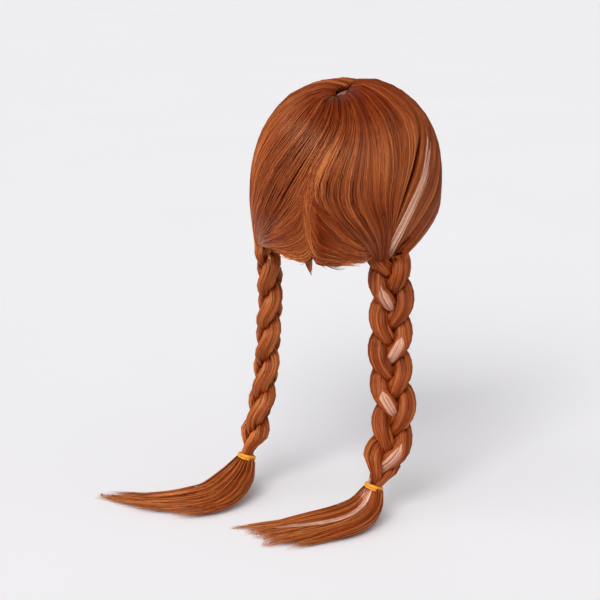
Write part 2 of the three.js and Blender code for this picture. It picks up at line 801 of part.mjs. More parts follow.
for (const [name, plait] of Object.entries(plaits)) {
  const tail = tails[name];
  const pale = name === "right";
  const tie = band(plait);
  const inPlait = [];
  if (pale) {
    inPlait.push(strandRibbon(plait, SIDE));
    addPiece("pale_lock_plait", inPlait[0], finishes.pale);
  }
  for (const k of [SIDE, TEMPLE, BACK]) {
    const whole = strand(plait, k, pale && k === SIDE);
    addPiece(`${name}_plait_strand_${k + 1}`, cutBy(whole, inPlait, touchClearance), finishes.hair);
    inPlait.push(whole);
  }
  addPiece(`${name}_band`, tie, finishes.band);

  const byTail = [...inPlait, tie];
  if (pale) {
    const tailPale = cutBy(tailRibbon(plait, tail), byTail);
    addPiece("pale_lock_tail", tailPale, finishes.pale);
    byTail.push(tailPale);
  }
  addPiece(`${name}_tail`, cutBy(tailBody(plait, tail), byTail, tailClearance), finishes.hair);

  const groove = pale ? paleShare : undefined;
  const sections = [
    ["side_hair", hairSection(sideHair, plait, SIDE, { locks: sideLocks, groove })],
    ["temple_hair", hairSection(templeHair, plait, TEMPLE, { locks: 3 })],
    ["back_hair", hairSection(backHair, plait, BACK, { locks: 4 })],
    ["nape_hair", hairSection(napeHair, plait, undefined, { locks: 2 })],
  ];
  if (pale) {
    const headPale = headRibbon(plait, paleShare);
    addPiece("pale_lock_head", headPale, finishes.pale);
    onHead.push(headPale);
  }
  for (const [part, geometry] of sections) {
    const clear = cutBy(cutBy(geometry, onHead, touchClearance), [blank]);
    addPiece(`${name}_${part}`, clear, finishes.hair);
    onHead.push(geometry);
  }
}
addPiece("nape_tuft", cutBy(napeTuft(), onHead), finishes.hair);

export default wig;
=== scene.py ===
import bpy
import numpy as np
from math import radians
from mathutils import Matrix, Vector
from mathutils.kdtree import KDTree


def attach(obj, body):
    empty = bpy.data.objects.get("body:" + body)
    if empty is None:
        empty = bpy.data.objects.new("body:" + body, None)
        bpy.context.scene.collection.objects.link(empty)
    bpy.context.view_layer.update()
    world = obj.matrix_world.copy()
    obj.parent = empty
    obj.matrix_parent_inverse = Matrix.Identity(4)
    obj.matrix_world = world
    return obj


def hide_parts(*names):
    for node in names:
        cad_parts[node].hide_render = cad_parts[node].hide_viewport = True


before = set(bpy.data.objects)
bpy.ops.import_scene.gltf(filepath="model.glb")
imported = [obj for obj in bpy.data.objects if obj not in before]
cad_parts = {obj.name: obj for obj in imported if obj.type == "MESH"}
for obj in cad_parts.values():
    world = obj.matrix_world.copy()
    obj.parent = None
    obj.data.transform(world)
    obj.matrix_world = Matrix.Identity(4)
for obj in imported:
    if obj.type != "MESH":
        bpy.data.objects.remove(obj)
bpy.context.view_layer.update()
bpy.ops.object.select_all(action="DESELECT")

mm = 0.001
floorLevel = -406.0


# Camera, floor and light

view = {
    "place": (-0.6172, 1.3235, 0.184),  # metres
    "tilt": 74.90,
    "turn": 206.76,
    "lens": 90,
    "sensor": 36,
}
bpy.ops.object.camera_add(location=view["place"], rotation=(radians(view["tilt"]), 0, radians(view["turn"])))
camera = bpy.context.object
camera.name = "viewCamera"
camera.data.lens = view["lens"]
camera.data.sensor_width = view["sensor"]
camera.data.clip_end = 60
bpy.context.scene.camera = camera
print("camera is set")


# Curves and small sums shared by all the hair

def mix(a, b, t):
    return a + (b - a) * t


def smooth(t):
    t = np.clip(t, 0.0, 1.0)
    return t * t * (3 - 2 * t)


def unit(v):
    return v / np.maximum(np.linalg.norm(v, axis=-1, keepdims=True), 1e-9)


def dot(a, b):
    return np.sum(a * b, axis=-1, keepdims=True)


def bendBetween(a, b, c, d, w):
    start = (c - a) / 2
    end = (d - b) / 2
    return b + start * w + (3 * (c - b) - 2 * start - end) * w ** 2 + (2 * (b - c) + start + end) * w ** 3


def withEnds(stations):
    first = 2 * stations[:1] - stations[1:2]
    last = 2 * stations[-1:] - stations[-2:-1]
    return np.concatenate([first, stations, last])


def along(stations, t):  # a smooth line through evenly spaced stations, read at t from 0 to 1
    stations = np.asarray(stations, float)
    line = withEnds(stations)
    place = np.clip(np.asarray(t, float), 0, 1) * (len(stations) - 1)
    i = np.minimum(place.astype(int), len(stations) - 2)
    w = place - i
    if stations.ndim > 1:
        w = w[..., None]
    return bendBetween(line[i], line[i + 1], line[i + 2], line[i + 3], w)


def acrossRows(rows, t):  # the same between whole rows of points
    line = withEnds(rows)
    place = np.clip(t, 0, 1) * (len(rows) - 1)
    i = np.minimum(place.astype(int), len(rows) - 2)
    w = (place - i)[..., None]
    four = [np.take_along_axis(line, (i + k)[None, ..., None], axis=0)[0] for k in range(4)]
    return bendBetween(*four, w)


# The head under the cap

head = {"halfWidth": 77, "halfDepth": 96, "rise": 95, "squareness": 2.2, "capWall": 1.5}


def lie(side, turn, tilt):
    # Unit way from the middle of the head, turned from the back and tilted from the crown
    turn = np.radians(turn)
    tilt = np.radians(tilt)
    s = np.sin(tilt)
    return np.stack([side * s * np.sin(turn), s * np.cos(turn), np.cos(tilt) + 0 * turn], axis=-1)


def onHead(way, off):
    n = head["squareness"]
    reach = (
        np.abs(way[..., 0] / (head["halfWidth"] + off)) ** n
        + np.abs(way[..., 1] / (head["halfDepth"] + off)) ** n
        + np.abs(way[..., 2] / (head["rise"] + off)) ** n
    ) ** (-1 / n)
    return np.array([0, 0, -head["rise"]]) + way * reach[..., None]


def overhead(x, y):
    z = head["rise"] * np.sqrt(max(0.02, 1 - (x / head["halfWidth"]) ** 2 - (y / head["halfDepth"]) ** 2))
    return unit(np.array([x, y, z], float))


# Plaits: the middle line, the figure of eight that each strand runs in, and its oval

plaitSizes = {
    "wide": 42,
    "thick": 24,
    "pitch": 104.5,
    "top": 151,
    "neck": 7.6,
    "gather": 30,
    "seam": 0.25,
    "crossing": 1.0,
    "full": 1.04,     # how far a strand swells past its oval where it lies free
    "open": 1.7,      # how much closer its neighbour may be before the skin lies in a seam
}
# painted light on the left front sections near the part
leftFrontPaintedLight = [1.04, 1.12, 1.16, 1.1, 1.02, 1, 1, 1, 1, 1, 1]
plaits = {
    "right": {
        "side": -1,
        "out": [0.8, 0.86, 0.855, 0.85, 0.87, 0.945, 0.965, 0.915, 0.82],
        "back": [0.385, 0.365, 0.355, 0.355, 0.375, 0.415, 0.48, 0.58, 0.7],
        "face": [25, 25, 25, 25, 25],
        "lead": 190,
        "bandHeight": 27,
        # lit: painted light along the plait, from top to bottom
        "lit": [1.03, 0.97, 0.92],
        "fuller": 1.5,        # more height beside the part
        "napeRise": 3,        # how far the lower edge of the nape is drawn up
        # painted light where the hair gathers into the plait; below zero it is painted shade
        "rootLight": -0.25,   # how much lighter the hair is where it gathers into the plait
        "rootFrom": 0.72,     # share of the way at which that begins
        "own": {},            # where its sections differ from the shared ones
    },
    "left": {
        "side": 1,
        "out": [0.89, 0.86, 0.85, 0.87, 0.885, 0.905, 0.945, 0.99, 1.06],
        "back": [0.38, 0.375, 0.375, 0.38, 0.39, 0.41, 0.46, 0.54, 0.64],
        "face": [65, 65, 62, 55, 40],
        "lead": 349,
        "bandHeight": 32,
        "lit": [1.24, 1.22, 1.17],
        "fuller": 0,
        "napeRise": 11,
        "rootLight": 0.42,
        "rootFrom": 0.58,
        "own": {
            "back_hair": {"crown": 6.0, "tones": [0.8, 0.95, 1.08, 1.1, 1.05, 1, 1, 1, 1, 1, 1]},
            "side_hair": {"tones": leftFrontPaintedLight},
            "temple_hair": {"tones": leftFrontPaintedLight},
            "nape_hair": {"open": 0.84, "light": (0, 0.5), "lightFrom": 0.25},
        },
    },
}
sideStrand, templeStrand, backStrand = 0, 1, 2
strandWide = plaitSizes["wide"] * 0.25
strandDeep = plaitSizes["thick"] * 0.33
swingWide = plaitSizes["wide"] / 2 - strandWide
swingDeep = plaitSizes["thick"] / 2 - strandDeep
neckSwing = plaitSizes["neck"] * 0.36
neckStrand = plaitSizes["neck"] - neckSwing * 1.25
for plait in plaits.values():
    plait["drop"] = -floorLevel - plait["bandHeight"] - plaitSizes["top"]


def plaitMiddle(plait, share):
    return np.stack([
        plait["side"] * along(plait["out"], share) * head["halfWidth"],
        along(plait["back"], share) * head["halfDepth"],
        -plaitSizes["top"] - plait["drop"] * np.asarray(share, float),
    ], axis=-1)


def plaitFrame(plait, share):
    share = np.asarray(share, float)
    ahead = plaitMiddle(plait, np.minimum(1, share + 0.01))
    run = unit(ahead - plaitMiddle(plait, np.maximum(0, share - 0.01)))
    facing = np.radians(along(plait["face"], share))
    wanted = np.stack([plait["side"] * np.sin(facing), np.cos(facing), 0 * facing], axis=-1)
    front = unit(wanted - run * dot(wanted, run))
    return plaitMiddle(plait, share), run, front, unit(np.cross(front, run))


def strandPlace(plait, k, share):
    down = np.asarray(share, float) * plait["drop"]
    gather = smooth((down - (plait["drop"] - plaitSizes["gather"])) / (plaitSizes["gather"] * 0.8))
    phase = np.radians(plait["lead"] - 120 * k + 360 * down / plaitSizes["pitch"])
    x = np.sin(phase) * mix(swingWide, neckSwing, gather)
    y = -np.sin(2 * phase) * mix(swingDeep, neckSwing, gather)
    return x, y, mix(strandWide, neckStrand, gather), mix(strandDeep, neckStrand, gather), 1 - gather


def strandReach(plait, k, share, angle):  # from the strand's middle to its skin, and how open that skin lies
    x, y, wide, deep, loose = strandPlace(plait, k, share)
    c = np.cos(angle)
    s = np.sin(angle)
    free = plaitSizes["full"] / np.hypot(c / wide, s / deep)
    reach = free
    for other in (k + 1, k + 2):
        otherX, otherY = strandPlace(plait, other % 3, share)[:2]
        dx = otherX - x
        dy = otherY - y
        apart = np.hypot(dx, dy)
        crossing = 1 - smooth((apart / (swingDeep * 3 ** 0.5) - 1) / 1.6)
        parting = plaitSizes["seam"] + crossing * loose * plaitSizes["crossing"]
        towards = (c * dx + s * dy) / np.maximum(apart, 1e-6)
        limit = np.where(towards > 0.05, (apart - parting) / 2 / np.maximum(towards, 0.05), 1e6)
        reach = np.minimum(reach, limit)
        free = np.minimum(free, limit / plaitSizes["open"])
    return reach, np.clip(plaitSizes["open"] * free / reach - 1, 0, 1)


def strandPoint(plait, k, share, angle, lift=0.0):
    middle, run, front, across = plaitFrame(plait, share)
    x, y = strandPlace(plait, k, share)[:2]
    reach = strandReach(plait, k, share, angle)[0] + lift
    x = x + reach * np.cos(angle)
    y = y + reach * np.sin(angle)
    return middle + across * x[..., None] + front * y[..., None]


# Combed sections: rows of the comb, each from its place at the part or nape to the plait

backToSide = {"out": 1.4, "back": 0.06, "lie": [[102, 42], [79, 66], [63, 86], [55, 104]]}
sideToTemple = {"out": 1.4, "back": -0.46, "lie": [[130, 60], [111, 82], [91, 100], [70, 114]]}
combRows = {
    "back_hair": [
        {"out": 0.8, "back": 0.33, "lie": [[0.5, 50], [1, 84], [23, 107], [43, 113]]},
        {"out": 4.0, "back": 0.31, "lie": [[18, 50], [25, 83], [39, 104], [48, 112]]},
        {"out": 5.5, "back": 0.26, "lie": [[37, 49], [42, 80], [48, 100], [51, 110]]},
        {"out": 4.5, "back": 0.16, "lie": [[66, 46], [61, 74], [55, 95], [53, 108]]},
        backToSide,
    ],
    "side_hair": [
        backToSide,
        {"out": 1.4, "back": -0.12, "lie": [[115, 49], [92, 70], [74, 89], [60, 106]]},
        {"out": 1.4, "back": -0.3, "lie": [[124, 55], [103, 76], [83, 95], [65, 110]]},
        sideToTemple,
    ],
    "temple_hair": [
        sideToTemple,
        {"out": 1.4, "back": -0.6, "lie": [[137, 65], [119, 86], [98, 104], [75, 117]]},
        {"out": 1.4, "back": -0.74, "lie": [[144, 69], [125, 90], [103, 108], [78, 119]]},
        {"out": 1.4, "back": -0.85, "lie": [[151, 73], [131, 95], [107, 112], [80, 121]]},
    ],
    "nape_hair": [
        {"turn": 0.5, "tilt": 84, "lie": [[10.8, 97.3], [22.6, 107], [33, 111.5], [44, 115]]},
        {"turn": 0.5, "tilt": 101, "lie": [[12, 109], [25, 115], [37, 118], [46, 119]]},
        {"turn": 0.5, "tilt": 119, "lie": [[14, 120], [27, 122], [39, 123], [47, 123]]},
    ],
}
napeRuns = [  # one row at the top of the nape, one in the middle, one at its lower edge
    [[2, 56], [2.5, 74], [6, 91], [14, 99.5], [24, 107], [33, 111.5], [44, 115]],
    [[-1, 56], [-0.5, 82], [3, 103], [12, 111], [25, 115], [37, 118], [46, 119]],
    [[-3, 56], [-2, 88], [-0.5, 114], [11, 121.5], [26, 122.5], [39, 123], [47, 123]],
]
runDown = 1 / 3           # share of such a run that lies above the nape
partOffset = -7
divideStray = [20, 20, 20, 22, 21, 19, 9, 6, 8, 8, 6, 4, 4]  # degrees, every 12 degrees of tilt


def combed(side, turn, tilt):
    near = 1 - smooth(np.abs(turn) / 60)
    return lie(side, turn - side * near * along(divideStray, tilt / 144), tilt)


def combWay(rows, side, u, v):  # u may run a little past the edges, so that neighbours overlap
    lines = []
    for row in rows:
        if "out" in row:
            root = overhead(partOffset + side * row["out"], row["back"] * head["halfDepth"])
        else:
            root = combed(side, row["turn"], row["tilt"])
        stations = [root] + [combed(side, turn, tilt) for turn, tilt in row["lie"]]
        lines.append(along(np.array(stations), v))
    lines = np.array(lines)
    held = np.clip(u, 0, 1)
    past = (u - held)[..., None]
    way = acrossRows(lines, held)
    inside = np.where(held > 0.5, held - 0.03, held + 0.03)
    slope = (way - acrossRows(lines, inside)) / 0.03 * np.where(held > 0.5, 1, -1)[..., None]
    return unit(way + slope * past)


def runWay(side, u, run):
    lines = []
    for row in napeRuns:
        stations = [combed(side, turn, tilt) for turn, tilt in row]
        lines.append(along(np.array(stations), run))
    return unit(acrossRows(np.array(lines), np.clip(u, 0, 1)))


def laid(way, off):
    flatter = np.maximum(0, off - 4.3) * loft["leftThinning"] * smooth((way[..., 0] - 0.4) / 0.5)
    return onHead(way, off - flatter)


def combPoint(rows, side, u, v, off):
    return laid(combWay(rows, side, u, v), off)


rootSeat = {"above": 0.35, "napeAbove": 6.35, "napeBehind": 1.9}  # where the hair meets the plait's start


def rootAngle(plait, u):
    middle, run, front, across = plaitFrame(plait, 0.0)
    swing = np.pi * mix(0.04, 0.96, u)
    way = -lie(plait["side"], 150, 90) * np.cos(swing)[..., None]
    way = way + lie(plait["side"], 60, 90) * np.sin(swing)[..., None]
    return way, np.arctan2(way @ front, way @ across)


def rootPoint(plait, k, u, lift):
    middle, run, front, across = plaitFrame(plait, 0.0)
    way, angle = rootAngle(plait, u)
    if k is None:
        behind = middle - lie(plait["side"], 60, 90) * strandDeep * rootSeat["napeBehind"]
        return behind + way * (plaitSizes["neck"] * 0.5) - run * rootSeat["napeAbove"]
    return strandPoint(plait, k, 0 * u, angle, lift) - run * rootSeat["above"]


loft = {
    "high": 10.8,
    "clump": 0.9,         # height of the locks over the hollows between them
    "rootRise": 0.07,
    "leftThinning": 0.45,
    "edge": 0.12,         # share of a section over which its edge falls to a gap
    "gapFrom": 0.27,      # share of the way at which a gap begins, and over which it opens
    "gapOpens": 0.3,
    "crownEnd": 0.11,     # share of the way that the hollow round the end of the part takes
}


def gapDepth(section, u, v):
    nearStart, nearEnd = section["gaps"]
    opened = smooth((v - loft["gapFrom"]) / loft["gapOpens"]) * (1 - smooth((v - 0.96) / 0.04))
    edges = nearStart * (1 - smooth(u / loft["edge"])) + nearEnd * (1 - smooth((1 - u) / loft["edge"]))
    crown = section["crown"] * (1 - smooth(v / loft["crownEnd"])) * (1 - smooth((u - 0.25) / 0.4))
    return edges * opened + crown


def hairRise(section, u, v):
    full = mix(section["full"], 1, smooth(v / loft["rootRise"]))
    heights = np.random.default_rng(section["seed"] + 3).random(section["locks"] * 5)
    ridge = (along(heights, u + 0.03 * np.sin(5 * v + 3 * u)) - 0.6) * loft["clump"]
    return loft["high"] * full + ridge * smooth(v / 0.1) - gapDepth(section, u, v)


def drawnUp(section, plait, u, v):  # how far the nape's lower edge rises
    if section["rows"] != "nape_hair":
        return 0 * v
    late = 1 - smooth((v - 0.8) / 0.2)
    return plait["napeRise"] * smooth((u - 0.3) / 0.7) * smooth((v - 0.05) / 0.5) * late


def sectionPoint(section, plait, u, v, lift=0.0):
    rows = combRows[section["rows"]]
    off = head["capWall"] + hairRise(section, np.clip(u, 0, 1), v) + lift
    u = u * (1 - section["pinch"] * smooth((v - 0.4) / 0.25))
    flat = np.clip(u, 0, 1)
    off = off + plait["fuller"] * smooth(v / 0.05) * (1 - smooth((v - 0.2) / 0.3))
    drawn = smooth((v - 0.62) / 0.38)[..., None]
    onCap = combPoint(rows, plait["side"], u, v, off)
    points = mix(onCap, rootPoint(plait, section["strand"], flat, lift), drawn)
    points[..., 0] -= plait["side"] * section["lean"] * (1 - smooth(v / 0.05))
    points[..., 2] += drawnUp(section, plait, flat, v)
    return points


def runPoint(section, plait, u, run, lift=0.0):  # the same on a run that starts above the nape
    v = np.maximum(0, (run - runDown) / (1 - runDown))
    flat = np.clip(u, 0, 1)
    off = head["capWall"] + hairRise(section, flat, np.maximum(v, 0.1)) + lift
    drawn = smooth((v - 0.62) / 0.38)[..., None]
    onCap = laid(runWay(plait["side"], u, run), off)
    points = mix(onCap, rootPoint(plait, None, flat, lift), drawn)
    points[..., 2] += drawnUp(section, plait, flat, v)
    return points


# Meshes from arrays of points

def meshFrom(name, points, faceSizes, corners, flow):
    mesh = bpy.data.meshes.new(name)
    mesh.vertices.add(len(points))
    mesh.vertices.foreach_set("co", (points * mm).astype(np.float32).ravel())
    mesh.loops.add(len(corners))
    mesh.loops.foreach_set("vertex_index", corners.astype(np.int32))
    mesh.polygons.add(len(faceSizes))
    starts = np.concatenate([[0], np.cumsum(faceSizes)[:-1]])
    mesh.polygons.foreach_set("loop_start", starts.astype(np.int32))
    mesh.update(calc_edges=True)
    giveFlow(mesh, flow)
    piece = bpy.data.objects.new(name, mesh)
    bpy.context.scene.collection.objects.link(piece)
    return piece


def giveFlow(mesh, flow):
    # Across the lock, along it from root to tip, the hair's own shade, and painted light and shade: how open
    # it lies, painted shade below 1 and painted light above 1
    colours = np.ones((len(flow), 4), np.float32)
    colours[:, :flow.shape[1]] = flow
    layer = mesh.attributes.get("flow") or mesh.attributes.new("flow", "FLOAT_COLOR", "POINT")
    layer.data.foreach_set("color", colours.ravel())


def strandsOfHair(name, paths, ways, width, across, shade, span=(0.0, 1.0), paintedLightShade=1.0):
    # Each hair is a closed three-sided strand. paths and ways are hairs by points by 3.
    n, m = paths.shape[:2]
    run = unit(np.gradient(paths, axis=1))
    aside = unit(np.cross(run, ways))
    up = np.cross(aside, run)
    wide = width[..., None]
    skin = np.stack([
        paths + up * wide * 0.5,
        paths - up * wide * 0.28 + aside * wide * 0.5,
        paths - up * wide * 0.28 - aside * wide * 0.5,
    ], axis=2)
    number = np.arange(n * m * 3).reshape(n, m, 3)
    a = number[:, :-1, :]
    b = number[:, 1:, :]
    sides = np.stack([a, np.roll(a, -1, axis=2), np.roll(b, -1, axis=2), b], axis=-1).reshape(-1, 4)
    caps = np.concatenate([number[:, 0, ::-1], number[:, -1, :]])
    corners = np.concatenate([sides.ravel(), caps.ravel()])
    sizes = np.concatenate([np.full(len(sides), 4), np.full(len(caps), 3)])
    step = np.linspace(span[0], span[1], m)
    flow = np.zeros((n, m, 3, 4))
    flow[..., 0] = across[:, :, None] if across.ndim == 2 else across[:, None, None]
    flow[..., 1] = step[None, :, None]
    flow[..., 2] = shade[:, None, None]
    flow[..., 3] = (paintedLightShade + np.zeros((n, m)))[:, :, None]
    return meshFrom(name, skin.reshape(-1, 3), sizes, corners, flow.reshape(-1, 4))


def taper(m, root=0.3, tip=0.3, rootShare=0.04, tipShare=0.12):
    t = np.linspace(0, 1, m)
    return mix(root, 1, smooth(t / rootShare)) * mix(tip, 1, smooth((1 - t) / tipShare))


def widthsOf(dice, span, count, points, *ends):
    return dice.uniform(*span, count)[:, None] * taper(points, *ends)[None, :]


def stepsOf(count, points, last=1.0):  # each hair's share of its way, from root to tip
    return np.linspace(0, last, points)[None, :] + np.zeros((count, 1))


def flowOf(points, across, shade):
    flow = np.stack([across, stepsOf(*points.shape[:2]), np.full(across.shape, shade)], axis=-1)
    return points.reshape(-1, 3), flow.reshape(-1, 3)


def even(count, dice):  # evenly spread with a little chance in it
    return (np.arange(count) + dice.random(count)) / count


def wander(dice, count, points, size, waves=3):  # a slow drift along each hair
    t = np.linspace(0, 1, points)[None, :]
    drift = np.zeros((count, points))
    for wave in range(1, waves + 1):
        swing = np.sin(2 * np.pi * (t * wave * 0.7 + dice.random((count, 1))))
        drift += swing * dice.normal(0, 1 / wave, (count, 1))
    return drift * size


def choose(*pieces):
    bpy.ops.object.select_all(action="DESELECT")
    for piece in pieces:
        piece.select_set(True)
    bpy.context.view_layer.objects.active = pieces[0]


def applyAll(piece):
    choose(piece)
    for modifier in list(piece.modifiers):
        bpy.ops.object.modifier_apply(modifier=modifier.name)


def mergedCopy(node, name, quads=False):
    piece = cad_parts[node].copy()
    piece.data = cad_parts[node].data.copy()
    piece.parent = None
    for key in list(piece.keys()):
        del piece[key]
    piece.name = name
    piece.data.materials.clear()
    bpy.context.scene.collection.objects.link(piece)
    choose(piece)
    bpy.ops.object.mode_set(mode="EDIT")
    bpy.ops.mesh.select_all(action="SELECT")
    bpy.ops.mesh.remove_doubles(threshold=0.00001)
    if quads:
        bpy.ops.mesh.tris_convert_to_quads()
    bpy.ops.object.mode_set(mode="OBJECT")
    return piece


def bodyOf(node, name, grain, sink, rounds=8):
    # A smooth body from a node of the frame, a little under the hair that lies on it
    piece = mergedCopy(node, name)
    remesh = piece.modifiers.new("evenFaces", "REMESH")
    remesh.mode = "VOXEL"
    remesh.voxel_size = grain * mm
    relax = piece.modifiers.new("relax", "SMOOTH")
    relax.factor = 0.5
    relax.iterations = rounds
    under = piece.modifiers.new("under", "DISPLACE")
    under.strength = -sink * mm
    under.mid_level = 0
    applyAll(piece)
    return piece


def treeOf(points):
    tree = KDTree(len(points))
    for i, point in enumerate(points):
        tree.insert(point, i)
    tree.balance()
    return tree


def flowFrom(piece, points, flow):  # a body takes the flow of the nearest hair, darker the deeper it lies
    tree = treeOf(points * mm)
    found = [tree.find(vertex.co)[1:] for vertex in piece.data.vertices]
    taken = flow[[index for index, distance in found]]
    if taken.shape[1] > 3:
        deep = np.array([distance for index, distance in found]) / mm
        # painted shade: the deeper under the hair, the darker
        taken[:, 3] *= 1 - 0.75 * smooth((deep - 2) / 3)
    giveFlow(piece.data, taken)


def joined(name, *pieces):
    choose(*pieces)
    bpy.ops.object.join()
    piece = bpy.context.object
    piece.name = name
    piece.data.name = name
    bpy.ops.object.shade_smooth()
    return piece


def finishPiece(piece, material, slot, *nodes):
    piece.data.materials.clear()
    piece.data.materials.append(material)
    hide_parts(*nodes)
    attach(piece, "root")
    faces = sum(len(polygon.vertices) - 2 for polygon in piece.data.polygons)
    print(piece.name, "has", faces, "triangles")


# Materials

def toLinear(colour):  # a colour written 0 to 255
    share = np.array(colour) / 255
    return (*np.where(share <= 0.04045, share / 12.92, ((share + 0.055) / 1.055) ** 2.4), 1)


class Shader:
    # Adds nodes to a tree and links them
    def __init__(self, tree):
        self.tree = tree

    def node(self, kind, settings=None, **inputs):
        made = self.tree.nodes.new(kind)
        for key, value in (settings or {}).items():
            setattr(made, key, value)
        self.fill(made, **inputs)
        return made

    def fill(self, made, **inputs):
        for key, value in inputs.items():
            self.put(made.inputs[key.replace("_", " ")], value)

    def put(self, socket, value):
        if isinstance(value, bpy.types.NodeSocket):
            self.tree.links.new(value, socket)
        else:
            socket.default_value = value

    def sums(self, kind, a, b=None):
        made = self.tree.nodes.new("ShaderNodeMath")
        made.operation = kind
        self.put(made.inputs[0], a)
        if b is not None:
            self.put(made.inputs[1], b)
        return made.outputs[0]

    def objectPlace(self):
        return self.node("ShaderNodeTexCoord").outputs["Object"]

    def ramp(self, value, tones):
        made = self.node("ShaderNodeValToRGB", Fac=value)
        while len(made.color_ramp.elements) < len(tones):
            made.color_ramp.elements.new(0.5)
        for element, (place, colour) in zip(made.color_ramp.elements, tones):
            element.position = place
            element.color = toLinear(colour)
        return made.outputs["Color"]

    def ranged(self, value, **ends):
        return self.node("ShaderNodeMapRange", Value=value, **ends).outputs[0]

    def bump(self, height, strength, distance):
        return self.node("ShaderNodeBump", Height=height, Strength=strength, Distance=distance).outputs[0]


def newMaterial(name):
    material = bpy.data.materials.new(name)
    material.use_nodes = True
    material.node_tree.nodes.clear()
    shader = Shader(material.node_tree)
    principled = shader.node("ShaderNodeBsdfPrincipled")
    output = shader.node("ShaderNodeOutputMaterial")
    material.node_tree.links.new(principled.outputs[0], output.inputs[0])
    return material, shader, principled


streaking = {  # how fast each noise changes along the hair and from hair to hair, its detail and roughness
    "broad": (3.2, 0.35, 2.0, 0.55),
    "fine": (5.0, 4.0, 3.0, 0.6),
    "slow": (7.0, 0.0, 1.0, 0.5),
    "slowAcross": 4.0,
    "broadShare": 0.35,
    "fineShare": 0.3,
    "slowShare": 0.35,
    "tipLight": 0.16,     # how much lighter the hair gets towards its tip
    "tipFrom": 0.42,
}


def streakGroup():
    # Long streaks that follow the hair: broad bands of colour, fine single hairs, and both as height
    group = bpy.data.node_groups.new("hairStreaks", "ShaderNodeTree")
    group.interface.new_socket(name="Flow", in_out="INPUT", socket_type="NodeSocketVector")
    for name, start in (("Broad", 14.0), ("Fine", 90.0), ("Own Shade", 0.4)):
        made = group.interface.new_socket(name=name, in_out="INPUT", socket_type="NodeSocketFloat")
        made.default_value = start
    for name in ("Tone", "Hairs"):
        group.interface.new_socket(name=name, in_out="OUTPUT", socket_type="NodeSocketFloat")
    shader = Shader(group)
    sums = shader.sums
    given = shader.node("NodeGroupInput")
    result = shader.node("NodeGroupOutput")
    across, alongHair, shade = shader.node("ShaderNodeSeparateXYZ", Vector=given.outputs["Flow"]).outputs

    def noise(kind, acrossRate):
        alongRate, shadeRate, detail, roughness = streaking[kind]
        place = shader.node(
            "ShaderNodeCombineXYZ", X=sums("MULTIPLY", across, acrossRate),
            Y=sums("MULTIPLY", alongHair, alongRate), Z=sums("MULTIPLY", shade, shadeRate))
        made = shader.node(
            "ShaderNodeTexNoise", Vector=place.outputs[0], Scale=1.0, Detail=detail, Roughness=roughness)
        return made.outputs[0]

    broad = noise("broad", given.outputs["Broad"])
    fine = noise("fine", given.outputs["Fine"])
    slow = noise("slow", streaking["slowAcross"])
    broadPart = sums("MULTIPLY", broad, streaking["broadShare"])
    streaks = sums("ADD", broadPart, sums("MULTIPLY", fine, streaking["fineShare"]))
    both = sums("ADD", streaks, sums("MULTIPLY", slow, streaking["slowShare"]))
    own = sums("MULTIPLY", sums("SUBTRACT", shade, 0.5), given.outputs["Own Shade"])
    lighter = sums("MULTIPLY", sums("SUBTRACT", alongHair, streaking["tipFrom"]), streaking["tipLight"])
    group.links.new(sums("ADD", sums("ADD", both, own), lighter), result.inputs["Tone"])
    group.links.new(fine, result.inputs["Hairs"])
    return group


hairStreaks = streakGroup()
# How painted shade and painted light change the hair's colour and shine, and the hair's full shine
paintedShadeEffects = {"redder": 0.7, "dimmer": 0.4, "duller": 1.7, "paintedLightDuller": -3.2, "shine": 0.95}


def hairMaterial(name, tones, gloss, roughness, ownShade, broad=14.0, fine=90.0):
    material, shader, principled = newMaterial(name)
    sums = shader.sums
    flow = shader.node("ShaderNodeAttribute", {"attribute_name": "flow"})
    streaks = shader.node("ShaderNodeGroup", {"node_tree": hairStreaks}, Flow=flow.outputs["Vector"])
    shader.fill(streaks, Broad=broad, Fine=fine, Own_Shade=ownShade)
    hairs = streaks.outputs["Hairs"]
    # Painted shade and painted light from the flow's last channel: below 1 the hair is made redder and
    # dimmer, above 1 lighter, and either way it shines less
    paintedShade = sums("SUBTRACT", 1.0, flow.outputs["Alpha"])
    redder = sums("ADD", 1.0, sums("MULTIPLY", paintedShade, paintedShadeEffects["redder"]))
    dimmer = sums("SUBTRACT", 1.0, sums("MULTIPLY", paintedShade, paintedShadeEffects["dimmer"]))
    deeper = shader.node("ShaderNodeGamma", Color=shader.ramp(streaks.outputs["Tone"], tones), Gamma=redder)
    dimmed = shader.node(
        "ShaderNodeVectorMath", {"operation": "SCALE"}, Vector=deeper.outputs[0], Scale=dimmer)
    paintedLight = sums("MULTIPLY", paintedShade, paintedShadeEffects["paintedLightDuller"])
    duller = sums("MAXIMUM", sums("MULTIPLY", paintedShade, paintedShadeEffects["duller"]), paintedLight)
    shine = sums("MAXIMUM", sums("SUBTRACT", 1.0, duller), 0.0)
    rough = shader.ranged(hairs, From_Min=0.3, From_Max=0.7, To_Min=roughness[0], To_Max=roughness[1])
    shader.fill(
        principled, Base_Color=dimmed.outputs[0], Roughness=rough, Normal=shader.bump(hairs, 0.35, 0.0006),
        Specular_IOR_Level=sums("MULTIPLY", shine, paintedShadeEffects["shine"]), Specular_Tint=toLinear(gloss))
    return material


copperHair = hairMaterial(
    "copperHair",
    [(0.30, (104, 37, 10)), (0.44, (136, 56, 19)), (0.54, (158, 74, 30)), (0.70, (196, 116, 60))],
    (255, 196, 146), (0.28, 0.42), 0.32)
paleHair = hairMaterial(
    "paleHair",
    [(0.26, (146, 84, 54)), (0.42, (184, 120, 88)), (0.56, (210, 156, 127)), (0.76, (234, 197, 176))],
    (255, 232, 222), (0.32, 0.46), 0.5)
print("hair materials are made")
